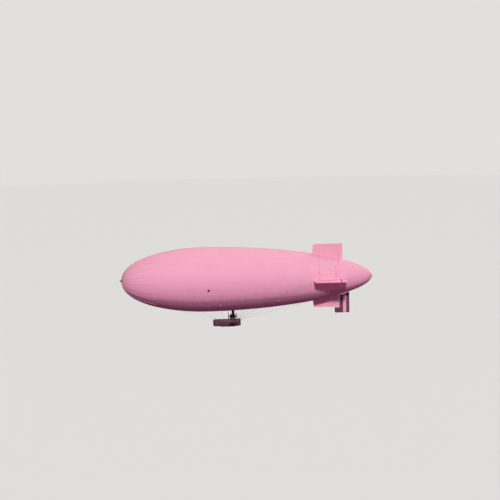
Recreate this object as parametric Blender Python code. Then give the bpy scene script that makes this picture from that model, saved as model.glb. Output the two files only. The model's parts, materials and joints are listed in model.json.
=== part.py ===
"""Pressure airship of the 1920s with an open crew car, modelled at half its real size.

Metres, +Z up. The nose points to -X and port is -Y. The origin lies on the axis of the
envelope at its centre of lift. Distances along the envelope are measured from its nose,
heights of the tail surfaces from its axis.
"""

import math

import bmesh
import bpy
from mathutils import Matrix, Vector

# Envelope
HULL_LENGTH = 20.72
HULL_RADIUS = 2.67
WIDEST_AT = 6.97
LIFT_CENTRE = 9.25
NOSE_FULLNESS = 0.463
TAIL_POWER = 1.84
TAIL_FULLNESS = 0.528
SHELL = 0.010
HULL_SIDES = 40
NOSE_STEPS = 10
TAIL_STEPS = 15
NOSE_OPENING = 0.15
TAIL_OPENING = 0.10
SEAT_GAP = 0.0004
RUNNING_GAP = 0.0001
BEARING_SIDES = 16

# Nose and tail fittings
NOSE_RING_RADIUS = 0.30
NOSE_PLATE = 0.03
SPINDLE_RADIUS = 0.06
SPINDLE_LENGTH = 0.12
COLLAR_RADIUS = 0.095
COLLAR_LENGTH = 0.05
PLUG_GAP = 0.02
PLUG_DEPTH = 0.05
LIP = 0.012
RING_LIP = 0.04
RING_FLANGE = 0.02
BATTEN_COUNT = 20
BATTEN_STATIONS = 6
BATTEN_WIDTH = 0.045
BATTEN_HEIGHT = 0.018
BATTEN_SINK = 0.010
BATTEN_TAPER = 0.7
BATTEN_OVERLAP = 0.06
TAIL_DOME = 0.035

# Valves: name, distance from the nose, angle above the horizon, radius, height
VALVES = (
    ("gas_valve", 7.28, -10.0, 0.105, 0.035),
    ("air_valve_fore", 8.17, -45.0, 0.085, 0.030),
    ("air_valve_aft", 12.95, -45.0, 0.085, 0.030),
)
VALVE_SINK = 0.03
VALVE_FLANGE = 0.4
VALVE_DOME_FOOT = 0.78
VALVE_DOME_TOP = 0.55

# Tail surfaces
FIN_START = 15.76
FIN_RAKE = 0.11
FIN_CORNER = 0.20
FIN_ROOT_THICKNESS = 0.12
FIN_TIP_THICKNESS = 0.07
FIN_BEVEL = 0.024
FIN_SINK = 0.35
HINGE_AT = 18.04
TOP_FIN_END = 18.29
TOP_FIN_HEIGHT = 2.75
BOTTOM_FIN_HEIGHT = 2.56
SIDE_FIN_HEIGHT = 2.75
TORQUE_TUBE_RADIUS = 0.030
HINGE_RING_RADIUS = 0.052
HINGE_RING_HEIGHT = 0.040
HINGE_NOTCH_DEPTH = 0.075
HINGE_NOTCH_HEIGHT = 0.070
HINGE_TONGUE_HEIGHT = 0.032
HINGE_TONGUE_THICKNESS = 0.036
HINGE_TONGUE_SINK = 0.05
FIN_TO_HINGE = 0.045
TUBE_INSET = 0.004
PANEL_THICKNESS = 0.050
PANEL_EDGE_THICKNESS = 0.016
RUDDER_CHORD = 0.80
RUDDER_BOTTOM = 3.06
RUDDER_ROOT_CLEARANCE = 0.045
RUDDER_CORNER = 0.06
RUDDER_PANEL_START = 0.02
RUDDER_BALANCE_LENGTH = 0.43
RUDDER_BALANCE_TOP = 2.62
RUDDER_BALANCE_CORNER = 0.12
RUDDER_BALANCE_OVERLAP = 0.05
RUDDER_BALANCE_THINNER = 0.004
RUDDER_HINGES = (1.72, 2.10, 2.48)
ELEVATOR_CHORD = 0.45
ELEVATOR_TIP_CUT = 0.12
ELEVATOR_ROOT_CLEARANCE = 0.05
ELEVATOR_HINGES = (1.62, 2.12, 2.62)

# Car: sections from bow to stern, as x, half width, bottom, bilge radius
CAR_RIM = -3.46
CAR_WALL = 0.012
CAR_SECTIONS = (
    (-1.76, 0.13, -3.88, 0.05),
    (-1.72, 0.19, -3.94, 0.07),
    (-1.63, 0.245, -3.97, 0.10),
    (-1.25, 0.27, -3.97, 0.11),
    (0.20, 0.27, -3.97, 0.11),
    (0.40, 0.235, -3.95, 0.10),
    (0.50, 0.19, -3.92, 0.08),
    (0.53, 0.15, -3.89, 0.06),
)
BILGE_STEPS = 3
COCKPITS = ("front", "middle", "rear")
COCKPIT_CENTRES = (-1.46, -1.10, -0.74)
COCKPIT_LENGTH = 0.26
COCKPIT_WIDTH = 0.36
COCKPIT_CORNER = 0.07
COAMING_HEIGHT = 0.026
COAMING_RAISE = 0.012
COAMING_WIDTH = 0.025
SEAT_WIDTH = 0.26
SEAT_LEAN = 12.0
WINDSCREEN_WIDTH = 0.28
WINDSCREEN_HEIGHT = 0.15
WINDSCREEN_CORNER = 0.06
WINDSCREEN_LEAN = 20.0
WINDSCREEN_GAP = 0.046
WINDSCREEN_FOOT = 0.0015
WINDSCREEN_THICKNESS = 0.008
TANK_X = 0.385
TANK_RADIUS = 0.11
TANK_LENGTH = 0.32
TANK_TOP = -3.37
TANK_STRAPS = (-0.10, 0.10)
TANK_STRAP_WIDTH = 0.04
TANK_STRAP_HEIGHT = 0.008
TANK_STRAP_END = 0.022
TANK_CAP_RADIUS = 0.02
TANK_ROOM = 0.01
BUMPER_START = -1.12
BUMPER_END = 0.04
BUMPER_WIDTH = 0.30
BUMPER_DEPTH = 0.055
BUMPER_STEPS = 8
BUMPER_END_SHARE = 0.12

# Bumper section: share of the half width, share of the depth
BUMPER_SECTION = (
    (-0.90, 0.00),
    (-1.00, 0.45),
    (-0.60, 1.00),
    (0.60, 1.00),
    (1.00, 0.45),
    (0.90, 0.00),
)

# Seat blocks: name, start and end from the cockpit's centre, width inset, bottom, top, leans
SEAT_BLOCKS = (
    ("box", -0.040, 0.100, 0.03, 0.00, 0.140, False),
    ("pan", -0.060, 0.130, 0.00, 0.13, 0.165, False),
    ("back", 0.115, 0.140, 0.00, 0.14, 0.400, True),
)

# Controls
WHEEL_TUBE = 0.009
WHEEL_STEPS = 20
WHEEL_BOSS = 0.022
SPOKE_RADIUS = 0.005
COLUMN_RADIUS = 0.011
RUDDER_WHEEL_RADIUS = 0.085
RUDDER_WHEEL_AHEAD = 0.09
RUDDER_WHEEL_HEIGHT = 0.32
RUDDER_WHEEL_TILT = 35.0
ELEVATOR_WHEEL_RADIUS = 0.08
ELEVATOR_WHEEL_AHEAD = 0.03
ELEVATOR_WHEEL_Y = 0.175
ELEVATOR_WHEEL_HEIGHT = 0.30
ELEVATOR_POST_Y = 0.145
BOARD_WIDTH = 0.30
BOARD_HEIGHT = 0.11
BOARD_THICKNESS = 0.010
BOARD_AHEAD = 0.025
DIAL_RADIUS = 0.030
DIALS_AT = (-0.10, -0.03, 0.04, 0.11)

# Engines on their outriggers
ENGINE_Y = 0.92
SHAFT_Z = -3.36
PROPELLER_X = -0.49
PROPELLER_RADIUS = 0.58
SHAFT_RADIUS = 0.014
RAIL_TOP = -3.41
RAIL_SIZE = 0.030
RAIL_OFFSET = 0.085
RAIL_START = -0.41
RAIL_END = 0.25
FRAME_STATIONS = (-0.30, 0.12)
TUBE_RADIUS = 0.015
CYLINDER_STATIONS = (-0.33, -0.22, -0.11, 0.00)
BANK_ANGLE = 45.0
BEAM_START = 0.19
BEAM_BEYOND_RAIL = 0.03
BRACE_RADIUS = 0.012
BRACE_FOOT = -3.78
BRACE_PLATE = (0.06, 0.012, 0.08)
DIAGONAL_START = 0.34
DIAGONAL_RADIUS = 0.010

# Blocks of an engine: name, start, end, half width, bottom and top above the shaft
ENGINE_BLOCKS = (
    ("case", -0.40, 0.07, 0.070, -0.055, 0.050),
    ("sump", -0.26, 0.04, 0.045, -0.130, -0.050),
    ("magneto", 0.06, 0.12, 0.050, -0.030, 0.070),
)
ENGINE_FEET = (-0.36, 0.03)
FOOT_HEIGHT = 0.016

# Rods of an engine: name, start, end, their heights above the shaft, radius, sides
ENGINE_RODS = (
    ("shaft", -0.39, -0.535, 0.00, 0.00, SHAFT_RADIUS, BEARING_SIDES),
    ("snout", -0.39, -0.420, 0.00, 0.00, 0.050, 16),
    ("intake", -0.34, 0.010, 0.15, 0.15, 0.016, 8),
    ("carburettor", -0.16, -0.160, 0.03, 0.15, 0.020, 8),
)

# Cylinder rods, out from the shaft's axis: name, start, end, radius, sides
CYLINDER_RODS = (
    ("barrel", 0.030, 0.170, 0.036, 10),
    ("head", 0.165, 0.205, 0.024, 8),
)
STUB_AT = 0.15
STUB_LENGTH = 0.05
STUB_RADIUS = 0.010
EXHAUST_START = -0.36
EXHAUST_END = 0.17
EXHAUST_RADIUS = 0.016
RADIATOR_START = 0.185
RADIATOR_END = 0.225
RADIATOR_WIDTH = 0.22
RADIATOR_HEIGHT = 0.25
HEADER_RADIUS = 0.028
HUB_FORE = 0.032
HUB_AFT = 0.028
HUB_RADIUS = 0.05

# Propeller blade: distance from the shaft, chord, depth, pitch
BLADE_STATIONS = (
    (0.02, 0.045, 0.045, 55),
    (0.10, 0.060, 0.034, 48),
    (0.24, 0.085, 0.024, 32),
    (0.42, 0.078, 0.014, 20),
    (0.54, 0.055, 0.009, 16),
    (PROPELLER_RADIUS, 0.022, 0.006, 15),
)

# Blade section: share of the half chord, share of the half depth
BLADE_SECTION = (
    (-1.00, 0.00),
    (-0.45, 1.00),
    (0.45, 0.80),
    (1.00, 0.00),
    (0.45, -0.80),
    (-0.45, -1.00),
)

# Ballonet air duct and scoops
DUCT_X = -0.09
DUCT_RADIUS = 0.115
DUCT_BOTTOM = -3.14
SCOOP_Y = 0.52
SCOOP_MOUTH_X = -0.36
SCOOP_MOUTH_RISE = 0.01
SCOOP_MOUTH_RADIUS = 0.105
SCOOP_WALL = 0.008
SCOOP_DEPTH = 0.17
SCOOP_HOLLOW_END = 0.065
SCOOP_BEND_Y = 0.46
SCOOP_BEND_AHEAD = 0.02
SCOOP_THROAT_RADIUS = 0.078
SCOOP_BRANCH_RADIUS = 0.075
SCOOP_DROP = 0.10
DROP_TOP_RADIUS = 0.13
DROP_FOOT_RADIUS = 0.17

# Suspension, each line: start x on the car's rail, distance of its patch, patch angle
STAY_RADIUS = 0.005
LONGERON_RADIUS = 0.012
LONGERON_HEIGHT = -3.495
LONGERON_START = -1.48
LONGERON_END = 0.30
STAYS = (
    (-1.45, 4.70, -62.0),
    (-1.10, 6.20, -54.0),
    (-0.70, 7.60, -50.0),
    (0.17, 10.40, -50.0),
    (0.22, 11.50, -54.0),
    (0.28, 12.70, -62.0),
)
ENGINE_STAY_PATCH = (9.20, -45.0)
PATCH_LENGTH = 0.20
PATCH_WIDTH = 0.12
PATCH_HEIGHT = 0.012
PATCH_SINK = 0.012

SIDES = {"port": -1, "starboard": 1}


def clear_scene():
    for item in list(bpy.data.objects):
        bpy.data.objects.remove(item, do_unlink=True)


def material(name, colour, roughness, metallic=0.0):
    made = bpy.data.materials.get(name)
    if made is None:
        made = bpy.data.materials.new(name)
        made.use_nodes = True
        shader = made.node_tree.nodes["Principled BSDF"]
        shader.inputs["Base Color"].default_value = (*colour, 1.0)
        shader.inputs["Roughness"].default_value = roughness
        shader.inputs["Metallic"].default_value = metallic
    return made


def fabric():
    return material("doped_fabric", (0.86, 0.40, 0.52), 0.55)


def dark_metal():
    return material("dark_metal", (0.07, 0.03, 0.045), 0.45, 0.6)


def car_skin():
    return material("car_skin", (0.12, 0.045, 0.07), 0.5)


def wood():
    return material("varnished_wood", (0.22, 0.08, 0.07), 0.4)


def glass():
    return material("window_glass", (0.75, 0.6, 0.66), 0.1)


def rubbered():
    return material("rubbered_fabric", (0.16, 0.07, 0.09), 0.8)


# Building blocks


def finish(name, mesh_data, look):
    """Turns a bmesh into a named object, its faces pointing out."""
    bmesh.ops.recalc_face_normals(mesh_data, faces=mesh_data.faces)
    mesh = bpy.data.meshes.new(name)
    mesh_data.to_mesh(mesh)
    mesh_data.free()
    made = bpy.data.objects.new(name, mesh)
    bpy.context.scene.collection.objects.link(made)
    made.data.materials.append(look)
    return made


def bake(target):
    """Replaces an object's mesh by what its modifiers make of it."""
    bpy.context.view_layer.update()
    graph = bpy.context.evaluated_depsgraph_get()
    mesh = bpy.data.meshes.new_from_object(target.evaluated_get(graph))
    old = target.data
    target.modifiers.clear()
    target.data = mesh
    bpy.data.meshes.remove(old)
    return target


def combine(target, tool, operation, keep_tool=False):
    modifier = target.modifiers.new(operation.lower(), "BOOLEAN")
    modifier.operation = operation
    modifier.object = tool
    bake(target)
    if not keep_tool:
        bpy.data.objects.remove(tool, do_unlink=True)
    return target


def joined(name, look, pieces):
    """One object from pieces that overlap."""
    target = pieces[0]
    for piece in pieces[1:]:
        combine(target, piece, "UNION")
    target.name = name
    target.data.name = name
    target.data.materials.clear()
    target.data.materials.append(look)
    return target


def set_origin(target, point):
    """Moves an object's origin to a point, for instance onto its hinge, and leaves its shape."""
    target.data.transform(Matrix.Translation(-point))
    target.location = point


def smooth(target, angle=35.0):
    target.data.shade_smooth()
    target.data.set_sharp_from_angle(angle=math.radians(angle))
    return target


def ring_points(centre, along, across, radius, sides):
    """Points of a circle round centre, in the plane of the two directions."""
    turn = 2 * math.pi / sides
    return [
        centre + radius * (math.cos(i * turn) * along + math.sin(i * turn) * across)
        for i in range(sides)
    ]


def skin(name, rings, look, loop=False, caps=True):
    """A surface over rings with equal numbers of points."""
    shape = bmesh.new()
    rows = [[shape.verts.new(point) for point in ring] for ring in rings]
    count = len(rows[0])
    pairs = list(zip(rows, rows[1:]))
    if loop:
        pairs.append((rows[-1], rows[0]))
    for first, second in pairs:
        for i in range(count):
            j = (i + 1) % count
            shape.faces.new((first[i], first[j], second[j], second[i]))
    if caps and not loop:
        shape.faces.new(list(reversed(rows[0])))
        shape.faces.new(rows[-1])
    return finish(name, shape, look)


def turned(name, profile, look, sides=24, centre=(0, 0), loop=False):
    """A solid turned about a line along X; profile holds x and radius."""
    rings = [
        ring_points(
            Vector((x, centre[0], centre[1])), Vector((0, 1, 0)), Vector((0, 0, 1)), r, sides
        )
        for x, r in profile
    ]
    return skin(name, rings, look, loop=loop)


def rod(name, start, end, radius, look, sides=8, end_radius=None):
    start, end = Vector(start), Vector(end)
    turn = (end - start).to_track_quat("Z", "Y")
    along, across = turn @ Vector((1, 0, 0)), turn @ Vector((0, 1, 0))
    last = radius if end_radius is None else end_radius
    rings = [
        ring_points(start, along, across, radius, sides),
        ring_points(end, along, across, last, sides),
    ]
    return skin(name, rings, look)


def bore_radius(shaft):
    """Corner radius of a bore whose flats clear a turning shaft's corners."""
    return (shaft + RUNNING_GAP) / math.cos(math.pi / BEARING_SIDES)


def block(name, low, high, look, turn=None):
    """A box between two corners, turned about its centre if asked."""
    low, high = Vector(low), Vector(high)
    centre, size = (low + high) / 2, high - low
    shape = bmesh.new()
    bmesh.ops.create_cube(shape, size=1.0)
    bmesh.ops.scale(shape, vec=size, verts=shape.verts)
    if turn is not None:
        bmesh.ops.transform(shape, matrix=turn, verts=shape.verts)
    bmesh.ops.translate(shape, vec=centre, verts=shape.verts)
    return finish(name, shape, look)


def plate(name, outline, place, half_thickness, look, bevel=0.0, bevelled=None):
    """A flat piece: place(u, v, side) maps its plane, half_thickness(u, v) is its half depth.

    bevelled(a, b) says which stretches of the outline have their edges rounded.
    """
    shape = bmesh.new()
    near = [shape.verts.new(place(u, v, -half_thickness(u, v))) for u, v in outline]
    far = [shape.verts.new(place(u, v, half_thickness(u, v))) for u, v in outline]
    shape.faces.new(near)
    shape.faces.new(list(reversed(far)))
    count = len(outline)
    edges = []
    for i in range(count):
        j = (i + 1) % count
        shape.faces.new((near[i], far[i], far[j], near[j]))
        if bevelled is not None and bevelled(outline[i], outline[j]):
            edges += [shape.edges.get((near[i], near[j])), shape.edges.get((far[i], far[j]))]
    if edges:
        bmesh.ops.bevel(shape, geom=edges, offset=bevel, segments=2, affect="EDGES", profile=0.5)
    return finish(name, shape, look)


def arc(centre, radius, start, end, steps):
    """Points of an arc, its angles in degrees."""
    angles = [math.radians(start + (end - start) * i / steps) for i in range(steps + 1)]
    return [(centre[0] + radius * math.cos(a), centre[1] + radius * math.sin(a)) for a in angles]


# Envelope


def along_axis(distance):
    return distance - LIFT_CENTRE


def hull_radius(distance):
    if distance < WIDEST_AT:
        ahead = (WIDEST_AT - distance) / WIDEST_AT
        return HULL_RADIUS * (1 - ahead**2) ** NOSE_FULLNESS
    behind = (distance - WIDEST_AT) / (HULL_LENGTH - WIDEST_AT)
    return HULL_RADIUS * (1 - behind**TAIL_POWER) ** TAIL_FULLNESS


def nose_distance(radius):
    share = (radius / HULL_RADIUS) ** (1 / NOSE_FULLNESS)
    return WIDEST_AT * (1 - math.sqrt(1 - share))


def tail_distance(radius):
    share = (radius / HULL_RADIUS) ** (1 / TAIL_FULLNESS)
    return WIDEST_AT + (HULL_LENGTH - WIDEST_AT) * (1 - share) ** (1 / TAIL_POWER)


def hull_profile():
    """Stations of the envelope as distance and radius, closer together at both ends."""
    quarter = math.pi / 2
    distances = [nose_distance(NOSE_OPENING)]
    distances += [
        WIDEST_AT * (1 - math.cos(quarter * i / NOSE_STEPS)) for i in range(1, NOSE_STEPS + 1)
    ]
    distances += [
        WIDEST_AT + (HULL_LENGTH - WIDEST_AT) * math.sin(quarter * i / TAIL_STEPS)
        for i in range(1, TAIL_STEPS)
    ]
    distances.append(tail_distance(TAIL_OPENING))
    return [(d, hull_radius(d)) for d in distances]


def offset_profile(profile, gap):
    """The same stations moved outwards by gap."""
    moved = []
    for i, (distance, radius) in enumerate(profile):
        before = profile[max(i - 1, 0)]
        after = profile[min(i + 1, len(profile) - 1)]
        run = Vector((after[0] - before[0], after[1] - before[1])).normalized()
        moved.append((distance - run.y * gap, radius + run.x * gap))
    return moved


def on_hull(distance, angle):
    """A point on the envelope and its outward normal; angle is above +Y, in degrees."""
    step = 0.05
    radius = hull_radius(distance)
    slope = (hull_radius(distance + step) - hull_radius(distance - step)) / (2 * step)
    around = math.radians(angle)
    outward = Vector((0, math.cos(around), math.sin(around)))
    point = Vector((along_axis(distance), 0, 0)) + radius * outward
    return point, (outward - Vector((slope, 0, 0))).normalized()


def build_envelope():
    shape = bmesh.new()
    rows = []
    for distance, radius in hull_profile():
        centre = Vector((along_axis(distance), 0, 0))
        ring = ring_points(centre, Vector((0, 1, 0)), Vector((0, 0, 1)), radius, HULL_SIDES)
        rows.append([shape.verts.new(point) for point in ring])
    for first, second in zip(rows, rows[1:]):
        for i in range(HULL_SIDES):
            j = (i + 1) % HULL_SIDES
            shape.faces.new((first[i], first[j], second[j], second[i]))
    envelope = finish("envelope", shape, fabric())
    wall = envelope.modifiers.new("wall", "SOLIDIFY")
    wall.thickness = SHELL
    wall.offset = -1.0
    wall.use_even_offset = True
    smooth(envelope)


def hull_cutter():
    """The envelope as a solid, larger all round by the gap that a piece resting on it keeps."""
    profile = [(along_axis(d), r) for d, r in offset_profile(hull_profile(), SEAT_GAP)]
    cutter = turned("hull_cutter", profile, fabric(), sides=HULL_SIDES)
    cutter.hide_render = True
    cutter.display_type = "WIRE"
    return cutter


def build_nose(cutter):
    start = along_axis(nose_distance(NOSE_OPENING))
    ring_end = along_axis(nose_distance(NOSE_RING_RADIUS)) + RING_FLANGE
    plug = NOSE_OPENING - PLUG_GAP
    cap = turned(
        "nose_cap",
        (
            (start - NOSE_PLATE - SPINDLE_LENGTH, SPINDLE_RADIUS),
            (start - NOSE_PLATE - COLLAR_LENGTH, SPINDLE_RADIUS),
            (start - NOSE_PLATE, COLLAR_RADIUS),
            (start - LIP, plug),
            (start + PLUG_DEPTH, plug),
        ),
        dark_metal(),
    )
    smooth(cap)
    ring = turned(
        "nose_ring",
        (
            (start - LIP - RING_FLANGE / 10, plug + SEAT_GAP),
            (start - LIP + RING_FLANGE / 10, NOSE_OPENING + RING_LIP),
            (ring_end, NOSE_RING_RADIUS + RING_FLANGE),
            (ring_end + RING_LIP, NOSE_RING_RADIUS - RING_FLANGE),
            (start + RING_FLANGE, plug + SEAT_GAP),
        ),
        fabric(),
        sides=HULL_SIDES,
        loop=True,
    )
    pieces = [ring] + [nose_batten(i) for i in range(BATTEN_COUNT)]
    battens = joined("nose_battens", fabric(), pieces)
    combine(battens, cutter, "DIFFERENCE", keep_tool=True)
    smooth(battens)


def nose_batten(index):
    """A flat stiffener that follows the envelope back from the nose ring."""
    angle = 2 * math.pi * index / BATTEN_COUNT
    outward = Vector((0, math.cos(angle), math.sin(angle)))
    sideways = Vector((0, -math.sin(angle), math.cos(angle)))
    profile = hull_profile()[: BATTEN_STATIONS + 1]
    under_ring = NOSE_RING_RADIUS - BATTEN_OVERLAP
    first = (nose_distance(under_ring), under_ring)
    profile = [first] + [p for p in profile if p[1] > NOSE_RING_RADIUS]
    tops = offset_profile(profile, BATTEN_HEIGHT)
    lows = offset_profile(profile, -BATTEN_SINK)
    halves = [BATTEN_WIDTH / 2] * (len(profile) - 1) + [BATTEN_WIDTH / 4]
    rings = []
    for top, low, half in zip(tops, lows, halves):
        narrow = half * BATTEN_TAPER
        corners = ((*low, -half), (*low, half), (*top, narrow), (*top, -narrow))
        rings.append(
            [
                Vector((along_axis(d), 0, 0)) + r * outward + side * sideways
                for d, r, side in corners
            ]
        )
    return skin("batten", rings, fabric())


def build_tail_cap():
    end = along_axis(tail_distance(TAIL_OPENING)) + SEAT_GAP
    plug = TAIL_OPENING - PLUG_GAP
    cap = turned(
        "tail_cap",
        (
            (end - PLUG_DEPTH, plug),
            (end, plug),
            (end, TAIL_OPENING),
            (end + 2 * LIP, plug - LIP),
            (end + TAIL_DOME, plug / 4),
        ),
        dark_metal(),
    )
    smooth(cap)


def build_valves(cutter):
    for stem, distance, angle, radius, height in VALVES:
        for side, sign in SIDES.items():
            around = angle if sign > 0 else 180.0 - angle
            foot, normal = on_hull(distance, around)
            look = dark_metal() if stem == "gas_valve" else fabric()
            low, top = foot - VALVE_SINK * normal, foot + VALVE_FLANGE * height * normal
            base = rod("flange", low, top, radius, look, sides=20)
            dome = rod(
                "dome",
                foot,
                foot + height * normal,
                VALVE_DOME_FOOT * radius,
                look,
                sides=20,
                end_radius=VALVE_DOME_TOP * radius,
            )
            valve = joined(f"{stem}_{side}", look, [base, dome])
            combine(valve, cutter, "DIFFERENCE", keep_tool=True)
            smooth(valve)


# Tail surfaces


def fin_place(angle):
    """Maps distance, height above the axis and sideways offset into space."""
    around = math.radians(angle)
    outward = Vector((0, math.cos(around), math.sin(around)))
    sideways = Vector((0, -math.sin(around), math.cos(around)))
    return lambda distance, height, side: (
        Vector((along_axis(distance), 0, 0)) + height * outward + side * sideways
    )


def fin_half_thickness(tip):
    root = hull_radius(HINGE_AT) - FIN_SINK

    def half(_distance, height):
        share = (height - root) / (tip - root)
        return (FIN_ROOT_THICKNESS + (FIN_TIP_THICKNESS - FIN_ROOT_THICKNESS) * share) / 2

    return half


def fin_outline(tip, end):
    root_fore = hull_radius(FIN_START) - FIN_SINK
    root_aft = hull_radius(end) - FIN_SINK
    corner = (FIN_START + FIN_RAKE + FIN_CORNER, tip - FIN_CORNER)
    return [
        (FIN_START, root_fore),
        *arc(corner, FIN_CORNER, 180, 90, 4),
        (end, tip),
        (end, root_aft),
    ]


def hinge_lug(place, height, fin_end):
    """A ring round the torque tube with its tongue into the fin."""
    axis_low = place(HINGE_AT, height - HINGE_RING_HEIGHT / 2, 0)
    axis_high = place(HINGE_AT, height + HINGE_RING_HEIGHT / 2, 0)
    ring = rod("ring", axis_low, axis_high, HINGE_RING_RADIUS, dark_metal(), sides=BEARING_SIDES)
    fore, aft = fin_end - HINGE_TONGUE_SINK, HINGE_AT - LIP
    low, high = height - HINGE_TONGUE_HEIGHT / 2, height + HINGE_TONGUE_HEIGHT / 2
    tongue = plate(
        "tongue",
        ((fore, low), (aft, low), (aft, high), (fore, high)),
        place,
        lambda _u, _v: HINGE_TONGUE_THICKNESS / 2,
        dark_metal(),
    )
    return [ring, tongue]


def build_fin(name, angle, tip, end, hinges, cutter):
    place = fin_place(angle)

    def outer(first, second):
        """Leading edge and tip, not the root and not a trailing edge that carries hinges."""
        low = min(first[1], second[1])
        upright_end = first[0] == second[0] == end
        along_root = first[0] != second[0] and low < tip - 1.05 * FIN_CORNER
        return not along_root and not (upright_end and hinges)

    fin = plate(
        name,
        fin_outline(tip, end),
        place,
        fin_half_thickness(tip),
        fabric(),
        bevel=FIN_BEVEL,
        bevelled=outer,
    )
    combine(fin, cutter, "DIFFERENCE", keep_tool=True)
    pieces = [fin]
    for height in hinges:
        pieces += hinge_lug(place, height, end)
    if hinges:
        fin = joined(name, fabric(), pieces)
        for height in hinges:
            bore = rod(
                "bore",
                place(HINGE_AT, height - HINGE_RING_HEIGHT, 0),
                place(HINGE_AT, height + HINGE_RING_HEIGHT, 0),
                bore_radius(TORQUE_TUBE_RADIUS),
                dark_metal(),
                sides=BEARING_SIDES,
            )
            combine(fin, bore, "DIFFERENCE")
    smooth(fin, 30)


def tail_panel(name, outline, chord, place, hinges, tube_span):
    """A moving surface: a tapered panel, notched for its hinges, on its torque tube."""

    def half(distance, _height):
        share = min(max((distance - HINGE_AT) / chord, 0.0), 1.0)
        return (PANEL_THICKNESS + (PANEL_EDGE_THICKNESS - PANEL_THICKNESS) * share) / 2

    panel = plate(name, outline, place, half, fabric())
    fore, aft = HINGE_AT - HINGE_NOTCH_DEPTH, HINGE_AT + HINGE_NOTCH_DEPTH
    for height in hinges:
        low, high = height - HINGE_NOTCH_HEIGHT / 2, height + HINGE_NOTCH_HEIGHT / 2
        notch = plate(
            "notch",
            ((fore, low), (aft, low), (aft, high), (fore, high)),
            place,
            lambda _u, _v: 2 * PANEL_THICKNESS,
            dark_metal(),
        )
        combine(panel, notch, "DIFFERENCE")
    tube = rod(
        "tube",
        place(HINGE_AT, tube_span[0], 0),
        place(HINGE_AT, tube_span[1], 0),
        TORQUE_TUBE_RADIUS,
        dark_metal(),
        sides=BEARING_SIDES,
    )
    return joined(name, fabric(), [tube, panel])


def build_rudder():
    place = fin_place(270.0)
    end = HINGE_AT + RUDDER_CHORD
    root = hull_radius(HINGE_AT) + RUDDER_ROOT_CLEARANCE
    root_aft = hull_radius(end) + RUDDER_ROOT_CLEARANCE
    corner = (end - RUDDER_CORNER, RUDDER_BOTTOM - RUDDER_CORNER)
    outline = [
        (HINGE_AT, root + RUDDER_PANEL_START),
        (end, root_aft + RUDDER_PANEL_START),
        *arc(corner, RUDDER_CORNER, 0, 90, 3),
        (HINGE_AT, RUDDER_BOTTOM),
    ]
    tube_span = (root, RUDDER_BOTTOM - TUBE_INSET)
    rudder = tail_panel("rudder", outline, RUDDER_CHORD, place, RUDDER_HINGES, tube_span)
    front, bottom = HINGE_AT - RUDDER_BALANCE_LENGTH, RUDDER_BOTTOM - TUBE_INSET / 2
    corner = (front + RUDDER_BALANCE_CORNER, bottom - RUDDER_BALANCE_CORNER)
    balance = plate(
        "balance",
        [
            (HINGE_AT + RUDDER_BALANCE_OVERLAP, RUDDER_BALANCE_TOP),
            (HINGE_AT + RUDDER_BALANCE_OVERLAP, bottom),
            *arc(corner, RUDDER_BALANCE_CORNER, 90, 180, 4),
            (front, RUDDER_BALANCE_TOP),
        ],
        place,
        lambda _u, _v: PANEL_THICKNESS / 2 - RUDDER_BALANCE_THINNER,
        fabric(),
    )
    smooth(joined("rudder", fabric(), [rudder, balance]), 30)
    set_origin(rudder, place(HINGE_AT, RUDDER_HINGES[1], 0))


def build_elevators():
    for side, sign in SIDES.items():
        place = fin_place(0.0 if sign > 0 else 180.0)
        end = HINGE_AT + ELEVATOR_CHORD
        root = hull_radius(HINGE_AT) + ELEVATOR_ROOT_CLEARANCE
        root_aft = hull_radius(end) + ELEVATOR_ROOT_CLEARANCE
        outline = [
            (HINGE_AT, root),
            (end, root_aft),
            (end, SIDE_FIN_HEIGHT - ELEVATOR_TIP_CUT),
            (end - ELEVATOR_TIP_CUT, SIDE_FIN_HEIGHT),
            (HINGE_AT, SIDE_FIN_HEIGHT),
        ]
        elevator = tail_panel(
            f"elevator_{side}",
            outline,
            ELEVATOR_CHORD,
            place,
            ELEVATOR_HINGES,
            (root + TUBE_INSET, SIDE_FIN_HEIGHT - TUBE_INSET),
        )
        smooth(elevator, 30)
        set_origin(elevator, place(HINGE_AT, ELEVATOR_HINGES[1], 0))


def build_tail(cutter):
    fin_end = HINGE_AT - FIN_TO_HINGE
    build_fin("fin_top", 90.0, TOP_FIN_HEIGHT, TOP_FIN_END, (), cutter)
    build_fin("fin_bottom", 270.0, BOTTOM_FIN_HEIGHT, fin_end, RUDDER_HINGES, cutter)
    build_fin("fin_port", 180.0, SIDE_FIN_HEIGHT, fin_end, ELEVATOR_HINGES, cutter)
    build_fin("fin_starboard", 0.0, SIDE_FIN_HEIGHT, fin_end, ELEVATOR_HINGES, cutter)
    build_rudder()
    build_elevators()


# Car


def car_section(x, half_width, bottom, bilge, inset=0.0, top=CAR_RIM):
    """Half-round bilges under upright sides, from the port rim round to starboard."""
    width, low, curve = half_width - inset, bottom + inset, max(bilge - inset, 0.01)
    port = arc((-width + curve, low + curve), curve, 180, 270, BILGE_STEPS)
    starboard = arc((width - curve, low + curve), curve, 270, 360, BILGE_STEPS)
    outline = [(-width, top), *port, *starboard, (width, top)]
    return [Vector((x, y, z)) for y, z in outline]


def build_car():
    under_deck = CAR_RIM - CAR_WALL - SEAT_GAP
    outer = [car_section(*row, top=under_deck) for row in CAR_SECTIONS]
    hull = skin("car_hull", outer, car_skin())
    rows = list(CAR_SECTIONS)
    rows[0] = (rows[0][0] + CAR_WALL, *rows[0][1:])
    rows[-1] = (rows[-1][0] - CAR_WALL, *rows[-1][1:])
    inner = [car_section(*row, inset=CAR_WALL, top=CAR_RIM + CAR_WALL) for row in rows]
    room = skin("room", inner, car_skin())
    combine(hull, room, "DIFFERENCE")
    smooth(hull)
    build_deck()


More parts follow.
